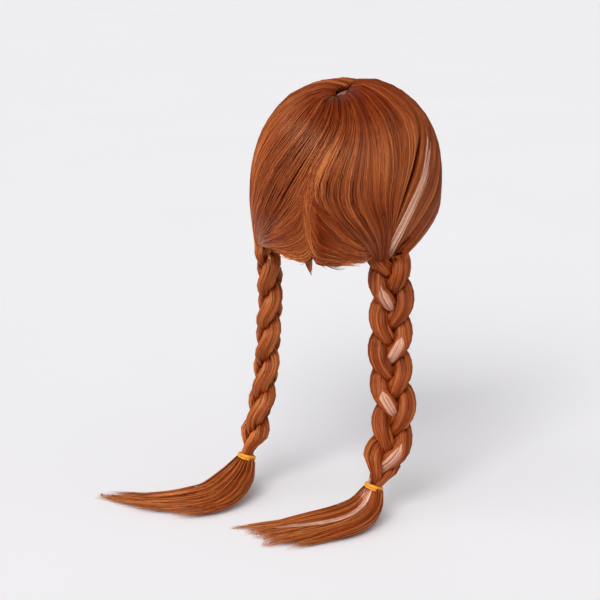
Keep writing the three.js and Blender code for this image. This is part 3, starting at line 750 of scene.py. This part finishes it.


# Combed hair over the cap

# gaps: how deep the first and last edges fall; over: how far hairs run past them
# rims: share of the hairs that cover the walls at those edges; runs: how many more come down the back
# open: painted shade, how much light reaches it; full: its height beside the part; crown: how much lower its
# hair starts round the end of the part; lean: how far it leans over the part
# pinch: share by which its last edge draws back lower down
# light: how much painted light its edges get, the last one from lightFrom on
# tones: painted shade and painted light at even steps from the part to the plait, painted shade round the
# crown and a painted highlight band lower down; firstEdgePaintedShading the same at its first edge
plainSection = {
    "over": (0, 0), "rims": (0, 0), "runs": 0, "open": 1.0, "crown": 0, "full": 0.82, "lean": 1.0,
    "pinch": 0, "light": (0, 0), "lightFrom": 1, "tones": [0.84, 0.87, 0.94, 1, 1, 1, 1, 1, 1, 1, 1],
}
sections = {
    "back_hair": {"rows": "back_hair", "strand": backStrand, "locks": 5, "hairs": 520, "seed": 11,
                  "gaps": (0, 7.0), "over": (0.03, 0), "rims": (0, 0.02), "crown": 3.4, "full": 0.6,
                  "lean": 0, "pinch": 0.09, "light": (0, 0.22), "lightFrom": 0.7,
                  "firstEdgePaintedShading": [0.66, 0.64, 0.68, 0.9, 1.06, 1.0, 0.92, 0.88, 0.88, 0.9, 0.9],
                  "tones": [0.66, 0.66, 0.68, 0.9, 1.06, 0.95, 0.76, 0.7, 0.7, 0.74, 0.8]},
    "side_hair": {"rows": "side_hair", "strand": sideStrand, "locks": 4, "hairs": 360, "seed": 23,
                  "gaps": (0, 0.6), "over": (0, 0.02), "rims": (0.06, 0), "light": (0.3, 0)},
    "temple_hair": {"rows": "temple_hair", "strand": templeStrand, "locks": 3, "hairs": 250, "seed": 37,
                    "gaps": (0.3, 2.0), "over": (0.02, 0), "rims": (0, 0.2)},
    "nape_hair": {"rows": "nape_hair", "strand": None, "locks": 2, "hairs": 230, "seed": 51,
                  "gaps": (0, 2.5), "over": (0.1, 0), "rims": (0, 0.3), "runs": 190, "open": 0.8,
                  "full": 0.6, "lean": 0, "light": (0, 0.3), "lightFrom": 0.55,
                  "tones": [0.68, 0.77, 0.92, 1, 1, 1, 1, 1, 1, 1, 1]},
}
sections = {part: {**plainSection, **own} for part, own in sections.items()}
combing = {
    "points": 21,
    "width": (0.5, 0.9),
    "low": 0.8,           # how far the deepest hairs lie under the surface
    "drift": 0.011,
    "flyaways": 0.035,    # share of loose hairs that stand off the rest
    "tuck": 18,           # how far the hairs run on down the plait
    "rootDepth": 4.2,     # how deep a hair starts beside the part, and at the nape
    "napeDepth": 2.2,
    "gapShade": 0.11,     # how much darker a gap is for each millimetre of its depth
}
pale = {"share": 0.27, "half": (0.075, 0.15)}


def paleHalf(v):
    return mix(pale["half"][0], pale["half"][1], smooth((v - 0.62) / 0.38))


# Painted shade and painted light for combed hair: its profile along the way, painted shade in gaps, painted
# light or shade where it gathers into the plait, and painted light on its edges
def combedPaintedLightShade(section, plait, u, v):
    tone = along(section["tones"], v)
    if "firstEdgePaintedShading" in section:
        tone = mix(along(section["firstEdgePaintedShading"], v), tone, smooth(u / 0.6))
    drawn = smooth((v - plait["rootFrom"]) / 0.2)
    gap = combing["gapShade"] * gapDepth(section, u, np.maximum(v, 0.12))
    first, last = section["light"]
    paintedLight = first * (1 - smooth(u / 0.22)) * smooth((v - 0.35) / 0.2)
    paintedLight = paintedLight + last * smooth((u - section["lightFrom"]) / 0.4)
    return section["open"] * tone * (1 - gap) * (1 + plait["rootLight"] * drawn) * (1 + paintedLight)


def sectionHairs(section, plait, u, lift, m, seed):
    # Points of each hair from the part over the head and on into its strand of the plait
    dice = np.random.default_rng(seed)
    n = len(u)
    v = stepsOf(n, m)
    uu = u[:, None] + wander(dice, n, m, combing["drift"])
    level = lift[:, None] + wander(dice, n, m, 0.12)
    points = sectionPoint(section, plait, uu, v, level)
    step = 0.01
    du = sectionPoint(section, plait, uu + step, v) - sectionPoint(section, plait, uu - step, v)
    later = sectionPoint(section, plait, uu, np.minimum(1, v + step))
    dv = later - sectionPoint(section, plait, uu, np.maximum(0, v - step))
    ways = unit(np.cross(du, dv)) * plait["side"]
    outward = dot(ways, unit(points - np.array([0, 0, -head["rise"]])))
    ways = np.where(outward < 0, -ways, ways)
    return uu, points, ways, unit(dv)


def combedHair(section, plait, name, keepFrom=None):
    dice = np.random.default_rng(section["seed"] + (0 if plait["side"] < 0 else 5))
    n = section["hairs"]
    m = combing["points"]
    overStart, overEnd = section["over"]
    u = even(n, dice) * (1 + overStart + overEnd) - overStart
    dice.shuffle(u)
    lift = 0.3 - dice.random(n) * combing["low"]
    lift = np.where(dice.random(n) < combing["flyaways"], dice.uniform(0.4, 0.9, n), lift)
    pick = dice.random(n)
    fall = dice.random(n) * loft["high"] * 0.75
    firstRim = section["rims"][0]
    for edge, low, high in ((0.0, 0, firstRim), (1.0, firstRim, sum(section["rims"]))):
        onRim = (pick >= low) & (pick < high)
        u = np.where(onRim, edge, u)
        lift = np.where(onRim, -fall, lift)
    uu, points, ways, runs = sectionHairs(section, plait, u, lift, m, section["seed"] + 7)
    if keepFrom is not None:  # leaves the pale lock's channel free
        v = np.linspace(0, 1, m)[None, :]
        off = uu - keepFrom
        half = paleHalf(v) * 0.95
        strays = dice.random(n)[:, None] < mix(1, 0.09, smooth((v - 0.2) / 0.25))
        shift = np.where((np.abs(off) < half) & ~strays, np.sign(off) * half - off, 0)
        uu = uu + shift
        crossing = np.where(strays & (np.abs(off) < half), 1.1, 0)
        points = sectionPoint(section, plait, uu, v + 0 * uu, lift[:, None] + crossing)
    # Each hair starts down at the cap and climbs out beside the part. At the nape it starts less deep
    rise = hairRise(section, np.clip(u, 0, 1), 0.0)[:, None]
    deepest = combing["napeDepth"] if section["runs"] else combing["rootDepth"]
    depth = np.minimum(rise - 1.2 + np.minimum(0, lift[:, None]), deepest)
    first = points[:, 0] - ways[:, 0] * depth - runs[:, 0] * 0.2
    second = points[:, 0] - ways[:, 0] * depth * 0.4 - runs[:, 0] * 0.5
    points = np.concatenate([first[:, None], second[:, None], points], axis=1)
    ways = np.concatenate([-runs[:, :1], -runs[:, :1] + ways[:, :1], ways], axis=1)
    uu = np.concatenate([uu[:, :1], uu[:, :1], uu], axis=1)
    if section["strand"] is not None:
        steps = 3
        tucked = (np.arange(1, steps + 1) / steps)[None, :] + 0 * u[:, None]
        share = tucked * combing["tuck"] / plait["drop"]
        angle = rootAngle(plait, np.clip(uu[:, -1:], 0, 1))[1] + 0 * share
        sink = lift[:, None] * (1 - tucked) - tucked * 0.9
        more = strandPoint(plait, section["strand"], share, angle, sink)
        inside = strandPoint(plait, section["strand"], share, angle, sink - 2)
        points = np.concatenate([points, more], axis=1)
        ways = np.concatenate([ways, unit(more - inside)], axis=1)
        uu = np.concatenate([uu, np.repeat(uu[:, -1:], steps, axis=1)], axis=1)
    m = points.shape[1]
    width = widthsOf(dice, combing["width"], n, m)
    vv = np.linspace(0, 1, combing["points"])
    vv = np.concatenate([[0, 0], vv, np.ones(m - len(vv) - 2)])[None, :]
    # painted shade on hairs that lie deep or down the walls
    paintedBuriedShade = (1 - 0.12 * (lift < -0.2)) * (1 - 0.6 * smooth(-lift / 4))
    paintedLightShade = combedPaintedLightShade(section, plait, np.clip(uu, 0, 1), vv) * paintedBuriedShade[:, None]
    return strandsOfHair(name, points, ways, width, uu, dice.random(n), (0.0, 0.55), paintedLightShade)


def runningHair(section, plait, name):
    # Hairs that come down the middle of the back and bend away over the nape
    dice = np.random.default_rng(section["seed"] + (60 if plait["side"] < 0 else 65))
    n = section["runs"]
    m = combing["points"] + 4
    u = even(n, dice) ** 1.1
    start = dice.random(n) * 0.2
    wisp = (u > 0.72) & (dice.random(n) < 0.5)  # ends that hang loose below the edge
    end = np.where(wisp, dice.uniform(0.4, 0.85, n), 1)
    part = np.linspace(0, 1, m)[None, :]
    run = start[:, None] + (end - start)[:, None] * part
    uu = u[:, None] + wander(dice, n, m, 0.02)
    rising = smooth((run - start[:, None]) / 0.14)
    lift = (0.9 - dice.random(n) * 0.9)[:, None] - 2.2 * (1 - rising) + wander(dice, n, m, 0.12)
    points = runPoint(section, plait, uu, run, lift)
    ways = unit(points - runPoint(section, plait, uu, run, lift - 2))
    droop = np.where(wisp, dice.uniform(1, 4, n), 0)[:, None]
    points[..., 2] -= droop * smooth((part - 0.7) / 0.3) ** 1.5
    width = widthsOf(dice, combing["width"], n, m)
    # painted shade over the nape and painted light on its last edge, growing along the run
    paintedLight = section["light"][1] * smooth((uu - section["lightFrom"]) / 0.4)
    paintedLightShade = mix(1, section["open"] * (1 + paintedLight), smooth(run / 0.5))
    return strandsOfHair(name, points, ways, width, uu, dice.random(n), (0.2, 0.55), paintedLightShade)


def openGaps(piece, section, plait):
    # Lowers a body's outer face at its gaps and draws up the nape's lower edge
    u, v = np.meshgrid(np.linspace(0, 1, 60), np.linspace(0, 1, 50), indexing="ij")
    place = sectionPoint(section, plait, u, v, -0.8)
    place[..., 2] -= drawnUp(section, plait, u, v)
    place = place.reshape(-1, 3)
    depth = gapDepth(section, u, v).ravel()
    rise = drawnUp(section, plait, u, v).ravel()
    centre = np.array([0, 0, -head["rise"]])
    tree = treeOf(place + unit(place - centre) * depth[:, None])
    for vertex in piece.data.vertices:
        point = np.array(vertex.co) / mm
        i, distance = tree.find(point)[1:]
        fall = depth[i] * smooth((6.5 - distance) / 3)
        vertex.co = (point - unit(point - centre) * fall + np.array([0, 0, rise[i]])) * mm


def sectionFlow(section, plait):
    u, v = np.meshgrid(np.linspace(0, 1, 40), np.linspace(0, 1, 40), indexing="ij")
    points = sectionPoint(section, plait, u, v, -2).reshape(-1, 3)
    # the body under the hair gets painted shade
    flow = np.stack([u, v * 0.5, 0.3 + 0 * u, 0.7 * combedPaintedLightShade(section, plait, u, v)], axis=-1)
    return points, flow.reshape(-1, 4)


for sideName, plait in plaits.items():
    for part, shared in sections.items():
        section = {**shared, **plait["own"].get(part, {})}
        node = sideName + "_" + part
        name = part.split("_")[0] + "Hair" + sideName.capitalize()
        body = bodyOf(node, name + "Body", 3.2, 0.8)
        openGaps(body, section, plait)
        flowFrom(body, *sectionFlow(section, plait))
        channel = pale["share"] if node == "right_side_hair" else None
        hairs = [combedHair(section, plait, name + "Hairs", channel)]
        if section["runs"]:
            hairs.append(runningHair(section, plait, name + "Runs"))
        finishPiece(joined(name, body, *hairs), copperHair, "hair", node)
print("combed hair is done")


# Plaits

plaiting = {"hairs": 170, "points": 34, "width": (0.55, 1.0), "low": 0.7, "rise": 0.5}


def paleShown(plait, share):  # 1 where the strand crosses the front or back, 0 at its outer turns
    phase = np.radians(plait["lead"] + 360 * share * plait["drop"] / plaitSizes["pitch"] - 155)
    loose = strandPlace(plait, sideStrand, share)[4]
    return mix(1, smooth((np.abs(np.cos(phase)) - 0.5) / 0.4), loose)


def paleSpread(plait, share):
    wide = strandPlace(plait, sideStrand, share)[2]
    return 7.0 * mix(0.2, 1, paleShown(plait, share)) / wide


def plaitedStrand(plait, k, name, seed, besidePale):
    dice = np.random.default_rng(seed)
    n = plaiting["hairs"]
    m = plaiting["points"]
    start = even(n, dice) * 2 * np.pi
    share = stepsOf(n, m)
    angle = start[:, None] + wander(dice, n, m, 0.05)
    clump = along(dice.random(16), (start / (2 * np.pi)) % 1)
    lift = (clump * plaiting["rise"] - dice.random(n) * plaiting["low"])[:, None] + wander(dice, n, m, 0.12)
    if besidePale:  # the hairs spread round the pale lock, and close over it at the outer turns
        shown = paleShown(plait, share)
        free = paleSpread(plait, share) * 0.88 * shown
        angle = np.pi / 2 + free + (start / (2 * np.pi))[:, None] * (2 * np.pi - 2 * free)
        near = 1 - smooth((np.abs(angle % (2 * np.pi) - np.pi / 2) - 0.25) / 0.3)
        lift = lift + near * (1 - shown) * 0.9
    points = strandPoint(plait, k, share, angle, lift)
    ways = unit(points - strandPoint(plait, k, share, angle, lift - 2))
    width = widthsOf(dice, plaiting["width"], n, m, 0.6, 0.6)
    # painted shade in the seams between strands, and painted light along the plait as lit gives
    paintedLightShade = mix(0.5, along(plait["lit"], share), strandReach(plait, k, share, angle)[1])
    place = (start / (2 * np.pi))[:, None] + 0 * share
    return strandsOfHair(name, points, ways, width, place, dice.random(n), (0.3, 0.85), paintedLightShade)


def strandFlow(plait, k):
    angle, share = np.meshgrid(np.linspace(0, 2 * np.pi, 24), np.linspace(0, 1, 90), indexing="ij")
    points = strandPoint(plait, k, share, angle).reshape(-1, 3)
    # painted shade in the seams between strands
    paintedLightShade = mix(0.4, 0.85, strandReach(plait, k, share, angle)[1])
    flow = np.stack([angle / (2 * np.pi), mix(0.3, 0.85, share), 0.3 + 0 * share, paintedLightShade], axis=-1)
    return points, flow.reshape(-1, 4)


for sideName, plait in plaits.items():
    for k in (sideStrand, templeStrand, backStrand):
        node = f"{sideName}_plait_strand_{k + 1}"
        name = "plaitStrand" + sideName.capitalize() + str(k + 1)
        body = bodyOf(node, name + "Body", 2.2, 0.5, 5)
        flowFrom(body, *strandFlow(plait, k))
        besidePale = sideName == "right" and k == sideStrand
        seed = 70 + 10 * k + (0 if sideName == "right" else 5)
        hairs = plaitedStrand(plait, k, name + "Hairs", seed, besidePale)
        finishPiece(joined(name, body, hairs), copperHair, "hair", node)
print("plaits are done")


# Tails

tailLock = {"wide": 17, "thick": 9}
# Each lock has its reach along the spine, its place across it and its width
tails = {
    "right": {
        "spine": [(0, 0, 27), (3, 19, 13), (15, 42, 7), (37, 65, 5), (62, 87, 4), (88, 107, 1.5)],
        "halfWidth": [6, 13, 18, 22, 27, 33],
        "roll": 5,
        "splay": 0.8,
        "locks": [(1.04, -1, 0.8), (0.96, -0.5, 1), (0.93, 0, 1), (0.9, 0.5, 1), (0.9, 1, 0.9),
                  (0.78, 1.7, 0.75)],
    },
    "left": {
        "spine": [(0, 0, 32), (1, 24, 19), (9, 52, 8), (28, 73, 6), (56, 84, 5), (90, 90, 4), (121, 89, 1.5)],
        "halfWidth": [6, 14, 19, 20, 17, 12, 9],
        "roll": 5,
        "splay": 1.3,
        "locks": [(1.02, -1, 0.8), (0.97, -0.5, 1), (0.9, 0, 1), (0.8, 0.5, 1), (0.57, 1.45, 0.9)],
    },
}
tailHair = {"hairs": 780, "points": 16, "width": (0.5, 0.95), "clumps": 6}
tailTaper = (0.6, 0.15, 0.04, 0.3)


def sideways(run):
    return unit(np.stack([-run[..., 1], run[..., 0], 0 * run[..., 0]], axis=-1))


def lockPath(plait, tail, lock):
    reach, fan, width = lock
    share = np.linspace(0, 1, 160) * reach
    held = np.minimum(share, 1)
    ahead = along(tail["spine"], np.minimum(1, held + 0.02))
    run = unit(ahead - along(tail["spine"], np.maximum(0, held - 0.02)))
    point = along(tail["spine"], held) + run * (np.maximum(0, share - 1) * 150)[:, None]
    aside = sideways(run)
    band = plaitMiddle(plait, 1.0)
    middle = np.stack([band[0] + point[:, 0], band[1] + point[:, 1], point[:, 2] + floorLevel], axis=-1)
    middle = middle + aside * (fan * along(tail["halfWidth"], share) * 0.72)[:, None]
    middle[:, 2] += tail["roll"] * np.sin(np.pi * np.clip(share / 0.75, 0, 1)) * max(0, -fan)
    length = np.concatenate([[0], np.cumsum(np.linalg.norm(np.diff(middle, axis=0), axis=1))])
    return middle, length / length[-1]


def lockFrame(path, t):
    middle, length = path

    def at(share):
        share = np.clip(share, 0, 1)
        return np.stack([np.interp(share, length, middle[:, i]) for i in range(3)], axis=-1)

    past = np.maximum(0, t - 1)[..., None]
    run = unit(at(t + 0.02) - at(t - 0.02))
    aside = sideways(run)
    up = np.cross(run, aside)
    return at(t) + run * past * 130, aside, np.where(up[..., 2:] < 0, -up, up)


def looseTail(plait, tail, name, seed):
    dice = np.random.default_rng(seed)
    made = []
    clumps = tailHair["clumps"]
    m = tailHair["points"]
    each = tailHair["hairs"] // len(tail["locks"])
    for number, lock in enumerate(tail["locks"]):
        path = lockPath(plait, tail, lock)
        group = dice.integers(0, clumps, each)
        angle = (np.arange(clumps) + dice.random(clumps)) / clumps * 2 * np.pi
        clumpReach = dice.uniform(0.84, 1.04, clumps)
        centreA = np.cos(angle) * 0.62
        centreB = np.sin(angle) * 0.5
        around = dice.random(each) * 2 * np.pi
        out = np.sqrt(dice.random(each)) * 0.55
        reach = clumpReach[group] * dice.uniform(0.8, 1.04, each)
        t = np.linspace(0, 1, m)[None, :] * reach[:, None]
        close = smooth((t / clumpReach[group][:, None] - 0.35) / 0.65)
        a = centreA[group][:, None] * (1 + 0.25 * close) + (np.cos(around) * out)[:, None] * (1 - 0.8 * close)
        b = centreB[group][:, None] * (1 - 0.5 * close) + (np.sin(around) * out)[:, None] * (1 - 0.8 * close)
        a = a + wander(dice, each, m, 0.05)
        b = b + wander(dice, each, m, 0.04)
        opened = smooth(t / 0.35)
        narrow = 1 - smooth((t - 0.6) / 0.4) * 0.3
        splay = smooth((t - 0.5) / 0.5) * tail["splay"]
        a = a + splay * (dice.normal(0, 0.3, each) + dice.normal(0, 0.5, clumps)[group])[:, None]
        b = b + splay * dice.normal(0, 0.2, each)[:, None]
        wide = mix(plaitSizes["neck"] * 0.5, tailLock["wide"] / 2 * lock[2], opened) * narrow
        deep = mix(plaitSizes["neck"] * 0.75, tailLock["thick"] / 2, opened) * narrow
        middle, aside, up = lockFrame(path, t)
        points = middle + aside * (a * wide * 1.12)[..., None] + up * (b * deep * 1.12)[..., None]
        points[..., 2] = np.maximum(points[..., 2], floorLevel + 0.5)
        ways = unit(aside * (a * deep)[..., None] + up * (b * wide)[..., None] + up * 2)
        width = widthsOf(dice, tailHair["width"], each, m, *tailTaper)
        across = (number + a * 0.5 + 0.5) / len(tail["locks"])
        # each clump's own tone varies at random; towards the tips the hair gets painted light
        paintedLightShade = dice.uniform(0.9, 1.04) + dice.normal(0, 0.07, clumps)[group][:, None]
        paintedLightShade = paintedLightShade + 0.2 * smooth((t - 0.6) / 0.4)
        shade = dice.random(each)
        label = name + str(number)
        made.append(strandsOfHair(label, points, ways, width, across, shade, (0.8, 1.0), paintedLightShade))
    return joined(name, *made)


def tailFlow(plait, tail):
    points = []
    flow = []
    t = np.linspace(0, 1, 40)
    for number, lock in enumerate(tail["locks"]):
        middle, aside, up = lockFrame(lockPath(plait, tail, lock), t)
        for a in (-1, -0.5, 0, 0.5, 1):
            points.append(middle + aside * a * tailLock["wide"] / 2)
            share = (number + a * 0.5 + 0.5) / len(tail["locks"])
            flow.append(np.stack([share + 0 * t, mix(0.8, 1, t), 0.3 + 0 * t], axis=-1))
    return np.concatenate(points), np.concatenate(flow)


for sideName, tail in tails.items():
    plait = plaits[sideName]
    node = sideName + "_tail"
    name = "tail" + sideName.capitalize()
    body = bodyOf(node, name + "Body", 1.9, 0.9, 5)
    flowFrom(body, *tailFlow(plait, tail))
    hairs = looseTail(plait, tail, name + "Hairs", 301 if sideName == "right" else 317)
    finishPiece(joined(name, body, hairs), copperHair, "hair", node)
print("tails are done")


# Pale lock: down the right side, through the plait and along the tail

paleLock = {"headHairs": 70, "plaitHairs": 44, "tailHairs": 95, "width": (0.5, 0.95)}


def paleOnHead(name):
    dice = np.random.default_rng(401)
    section = sections["side_hair"]
    plait = plaits["right"]
    n = paleLock["headHairs"]
    m = combing["points"]
    a = even(n, dice) * 2 - 1
    a = np.where(dice.random(n) < 0.35, a * 1.5, a)  # some stray out among the copper hairs
    v = stepsOf(n, m, 0.97)
    u = pale["share"] + a[:, None] * paleHalf(v) * 0.95 + wander(dice, n, m, 0.008)
    lift = 0.5 + 0.5 * np.cos(np.clip(a, -1, 1) * 1.4) - dice.random(n) * 0.6 + 0.4 * (np.abs(a) > 1)
    lift = lift[:, None] - 1.4 * (1 - smooth((v - 0.25) / 0.2)) + 0.8 * smooth((v - 0.5) / 0.2)
    points = sectionPoint(section, plait, u, v, lift)
    # painted highlight on the lower part of the pale lock
    paintedLightShade = mix(0.9, 1.12, smooth((v - 0.4) / 0.3))
    ways = unit(points - np.array([0, 0, -head["rise"]]))
    width = widthsOf(dice, paleLock["width"], n, m)
    hairs = strandsOfHair(name, points, ways, width, u * 3, dice.random(n), (0.0, 0.55), paintedLightShade)
    return hairs, points, u


def paleInPlait(name):
    dice = np.random.default_rng(411)
    plait = plaits["right"]
    n = paleLock["plaitHairs"]
    m = plaiting["points"]
    a = even(n, dice) * 2 - 1
    share = stepsOf(n, m)
    angle = np.pi / 2 + a[:, None] * paleSpread(plait, share) + wander(dice, n, m, 0.015)
    lift = (0.3 - dice.random(n) * 0.5)[:, None] + 0 * share
    points = strandPoint(plait, sideStrand, share, angle, lift)
    ways = unit(points - strandPoint(plait, sideStrand, share, angle, lift - 2))
    width = widthsOf(dice, paleLock["width"], n, m, 0.6, 0.6)
    # painted shade in the seams between strands
    paintedLightShade = mix(0.5, 0.9, strandReach(plait, sideStrand, share, angle)[1])
    across = angle * 0.1 + 2.6
    hairs = strandsOfHair(name, points, ways, width, across, dice.random(n), (0.3, 0.85), paintedLightShade)
    return hairs, points, across


def paleOnTail(name):
    dice = np.random.default_rng(421)
    plait = plaits["right"]
    path = lockPath(plait, tails["right"], tails["right"]["locks"][2])
    n = paleLock["tailHairs"]
    m = tailHair["points"]
    a = dice.normal(0, 0.5, n)
    reach = dice.uniform(0.5, 0.84, n)
    t = 0.01 + np.linspace(0, 1, m)[None, :] * reach[:, None]
    middle, aside, up = lockFrame(path, t)
    top = mix(plaitSizes["neck"] * 0.8, tailLock["thick"] / 2, smooth(t / 0.35)) + 0.7
    half = 8.5 * (1 - 0.7 * smooth((t / reach[:, None] - 0.6) / 0.4)) * mix(0.6, 1, smooth(t / 0.2))
    level = top - 0.1 - dice.random((n, 1)) * 0.9 - np.minimum(1.5, np.abs(a[:, None])) ** 2 * 0.6
    points = middle + aside * (a[:, None] * half + wander(dice, n, m, 0.3))[..., None] + up * level[..., None]
    width = widthsOf(dice, paleLock["width"], n, m, *tailTaper)
    across = a[:, None] * 0.5 + 0 * t
    paintedLightShade = mix(0.92, 0.8, smooth((t - 0.4) / 0.3))
    hairs = strandsOfHair(name, points, up, width, across, dice.random(n), (0.8, 1.0), paintedLightShade)
    return hairs, points, across


for node, name, make in (
    ("pale_lock_head", "paleLockHead", paleOnHead),
    ("pale_lock_plait", "paleLockPlait", paleInPlait),
    ("pale_lock_tail", "paleLockTail", paleOnTail),
):
    hairs, points, across = make(name + "Hairs")
    body = bodyOf(node, name + "Body", 1.2, 0.4, 4)
    flowFrom(body, *flowOf(points, across, 0.35))
    finishPiece(joined(name, body, hairs), paleHair, "pale_hair", node)
print("pale lock is done")


# Tuft in the middle of the nape

tuft = {
    "left": -3, "back": 0.93, "top": 138, "length": 26, "width": 9, "thick": 5,
    "hairs": 90, "points": 9, "hairWidth": (0.5, 0.9),
}


def napeTuft(name):
    dice = np.random.default_rng(501)
    n = tuft["hairs"]
    m = tuft["points"]
    reach = dice.uniform(0.72, 1.06, n)[:, None]
    t = np.linspace(0, 1, m)[None, :] * reach
    around = dice.random(n)[:, None] * 2 * np.pi
    out = np.sqrt(dice.random(n))[:, None]
    narrow = np.sin(np.pi * mix(0.3, 0.97, np.minimum(t, 1)))
    x = tuft["left"] + np.cos(around) * out * tuft["width"] / 2 * narrow + wander(dice, n, m, 0.25)
    y = tuft["back"] * head["halfDepth"] - 7 * t * t + np.sin(around) * out * tuft["thick"] / 2 * narrow
    points = np.stack([x, y, -tuft["top"] - tuft["length"] * t], axis=-1)
    ways = np.stack([np.cos(around) + 0 * t, np.sin(around) + 0.4 + 0 * t, 0 * t], axis=-1)
    width = widthsOf(dice, tuft["hairWidth"], n, m, 0.6, 0.15, 0.05, 0.4)
    across = x * 0.02
    hairs = strandsOfHair(name, points, unit(ways), width, across, dice.random(n), (0.4, 0.7))
    return hairs, points, across


hairs, points, across = napeTuft("napeTuftHairs")
body = bodyOf("nape_tuft", "napeTuftBody", 0.9, 0.5, 4)
flowFrom(body, *flowOf(points, across, 0.3))
finishPiece(joined("napeTuft", body, hairs), copperHair, "hair", "nape_tuft")
print("nape tuft is done")


# Rubber bands, wound three times round the neck of each plait

band = {"bore": 7.7, "width": 3.4, "thick": 2.3, "spacing": 1.25, "seat": 0.75}
bandTilts = [(3, -2), (-3, 2), (1, 3)]  # degrees that each turn of the rubber lies aslant


def rubberMaterial():
    material, shader, principled = newMaterial("tieRubber")
    grain = shader.node("ShaderNodeTexNoise", Vector=shader.objectPlace(), Scale=900.0, Detail=3.0).outputs[0]
    shader.fill(
        principled, Base_Color=shader.ramp(grain, [(0.3, (206, 118, 10)), (0.7, (240, 170, 40))]),
        Roughness=shader.ranged(grain, To_Min=0.25, To_Max=0.5), Subsurface_Weight=0.15,
        Subsurface_Scale=0.001)
    return material


tieRubber = rubberMaterial()
for sideName, plait in plaits.items():
    middle, run, front, across = plaitFrame(plait, 1.0)
    turnsMade = []
    for turn, (tiltA, tiltB) in enumerate(bandTilts):
        shift = (turn - 1) * band["spacing"]
        centre = (middle - run * (band["width"] + shift)) * mm
        rotation = Vector(run).to_track_quat("Z", "Y").to_euler()
        bpy.ops.mesh.primitive_torus_add(
            location=centre, rotation=rotation, major_segments=48, minor_segments=12,
            major_radius=(band["bore"] + band["seat"]) * mm, minor_radius=band["thick"] / 2 * mm)
        ring = bpy.context.object
        ring.rotation_euler.rotate_axis("X", radians(tiltA))
        ring.rotation_euler.rotate_axis("Y", radians(tiltB))
        bpy.ops.object.transform_apply(location=True, rotation=True, scale=True)
        giveFlow(ring.data, np.zeros((len(ring.data.vertices), 3)))
        turnsMade.append(ring)
    tie = joined("band" + sideName.capitalize(), *turnsMade)
    finishPiece(tie, tieRubber, "tie_rubber", sideName + "_band")
print("bands are done")


# Cap and the strip in the part

def capMaterial():
    material, shader, principled = newMaterial("capMesh")
    place = shader.objectPlace()
    upright = {"bands_direction": "Z"}
    wave = shader.node("ShaderNodeTexWave", upright, Vector=place, Scale=75.0, Distortion=0.6)
    wefts = wave.outputs["Fac"]
    weave = shader.node("ShaderNodeTexVoronoi", Vector=place, Scale=420.0).outputs["Distance"]
    height = shader.sums("ADD", wefts, shader.sums("MULTIPLY", weave, 0.6))
    shader.fill(
        principled, Base_Color=shader.ramp(wefts, [(0, (58, 24, 10)), (1, (120, 58, 28))]),
        Normal=shader.bump(height, 0.6, 0.0008), Roughness=0.85)
    return material


def partMaterial():
    material, shader, principled = newMaterial("partLace")
    pores = shader.node("ShaderNodeTexVoronoi", Vector=shader.objectPlace(), Scale=700.0).outputs["Distance"]
    shader.fill(
        principled, Base_Color=shader.ramp(pores, [(0.1, (112, 64, 46)), (0.45, (164, 112, 94))]),
        Normal=shader.bump(pores, 0.3, 0.0004), Roughness=0.6)
    return material


def softCopy(node, name, levels):
    piece = mergedCopy(node, name, True)
    soft = piece.modifiers.new("soft", "SUBSURF")
    soft.levels = soft.render_levels = levels
    applyAll(piece)
    bpy.ops.object.shade_smooth()
    return piece


finishPiece(softCopy("wig_cap", "cap", 2), capMaterial(), "cap_mesh", "wig_cap")
finishPiece(softCopy("part_skin", "partStrip", 2), partMaterial(), "part_lace", "part_skin")
print("cap is done")


# Floor and studio light

studio = {"floor": 60, "ambient": 0.29, "horizon": 0.86}  # the floor's size is in metres


def floorMaterial():
    material, shader, principled = newMaterial("paleFloor")
    grain = shader.node("ShaderNodeTexNoise", Vector=shader.objectPlace(), Scale=3.0, Detail=2.0).outputs[0]
    shader.fill(
        principled, Base_Color=shader.ramp(grain, [(0, (238, 238, 240)), (1, (242, 241, 243))]),
        Roughness=0.8)
    return material


bpy.ops.mesh.primitive_plane_add(size=studio["floor"], location=(0, 0, floorLevel * mm - 0.0002))
floor = bpy.context.object
floor.name = "floor"
floor.data.materials.append(floorMaterial())
bpy.ops.object.transform_apply(location=True, rotation=True, scale=True)

world = bpy.data.worlds.new("studio")
world.use_nodes = True
backdrop = world.node_tree.nodes["Background"]
backdrop.inputs["Color"].default_value = toLinear((252, 249, 251))
sky = Shader(world.node_tree)
skyPlace = sky.node("ShaderNodeTexCoord")
skyParts = sky.node("ShaderNodeSeparateXYZ", Vector=skyPlace.outputs["Generated"])
sky.fill(backdrop, Strength=sky.ranged(
    skyParts.outputs["Z"], From_Min=0.1, From_Max=0.4, To_Min=studio["horizon"], To_Max=studio["ambient"]))
bpy.context.scene.world = world

# Broad soft lights that reach the whole floor alike: azimuth round from behind the wig, elevation
lamps = [
    {"name": "softKey", "azimuth": 188, "elevation": 40, "power": 2.3, "spread": 40},
    {"name": "softLeft", "azimuth": 142, "elevation": 32, "power": 1.0, "spread": 70},
    {"name": "softRight", "azimuth": 262, "elevation": 32, "power": 0.35, "spread": 80},
]
for lamp in lamps:
    bpy.ops.object.light_add(type="SUN", location=(0, 0, 2))
    light = bpy.context.object
    light.name = lamp["name"]
    light.data.energy = lamp["power"]
    light.data.angle = radians(lamp["spread"])
    turn = radians(lamp["azimuth"])
    lift = radians(lamp["elevation"])
    towards = Vector((np.sin(turn) * np.cos(lift), -np.cos(turn) * np.cos(lift), np.sin(lift)))
    light.rotation_euler = (-towards).to_track_quat("-Z", "Y").to_euler()
bpy.context.scene.view_settings.view_transform = "Standard"
print("floor and light are done")

bpy.ops.object.select_all(action="DESELECT")
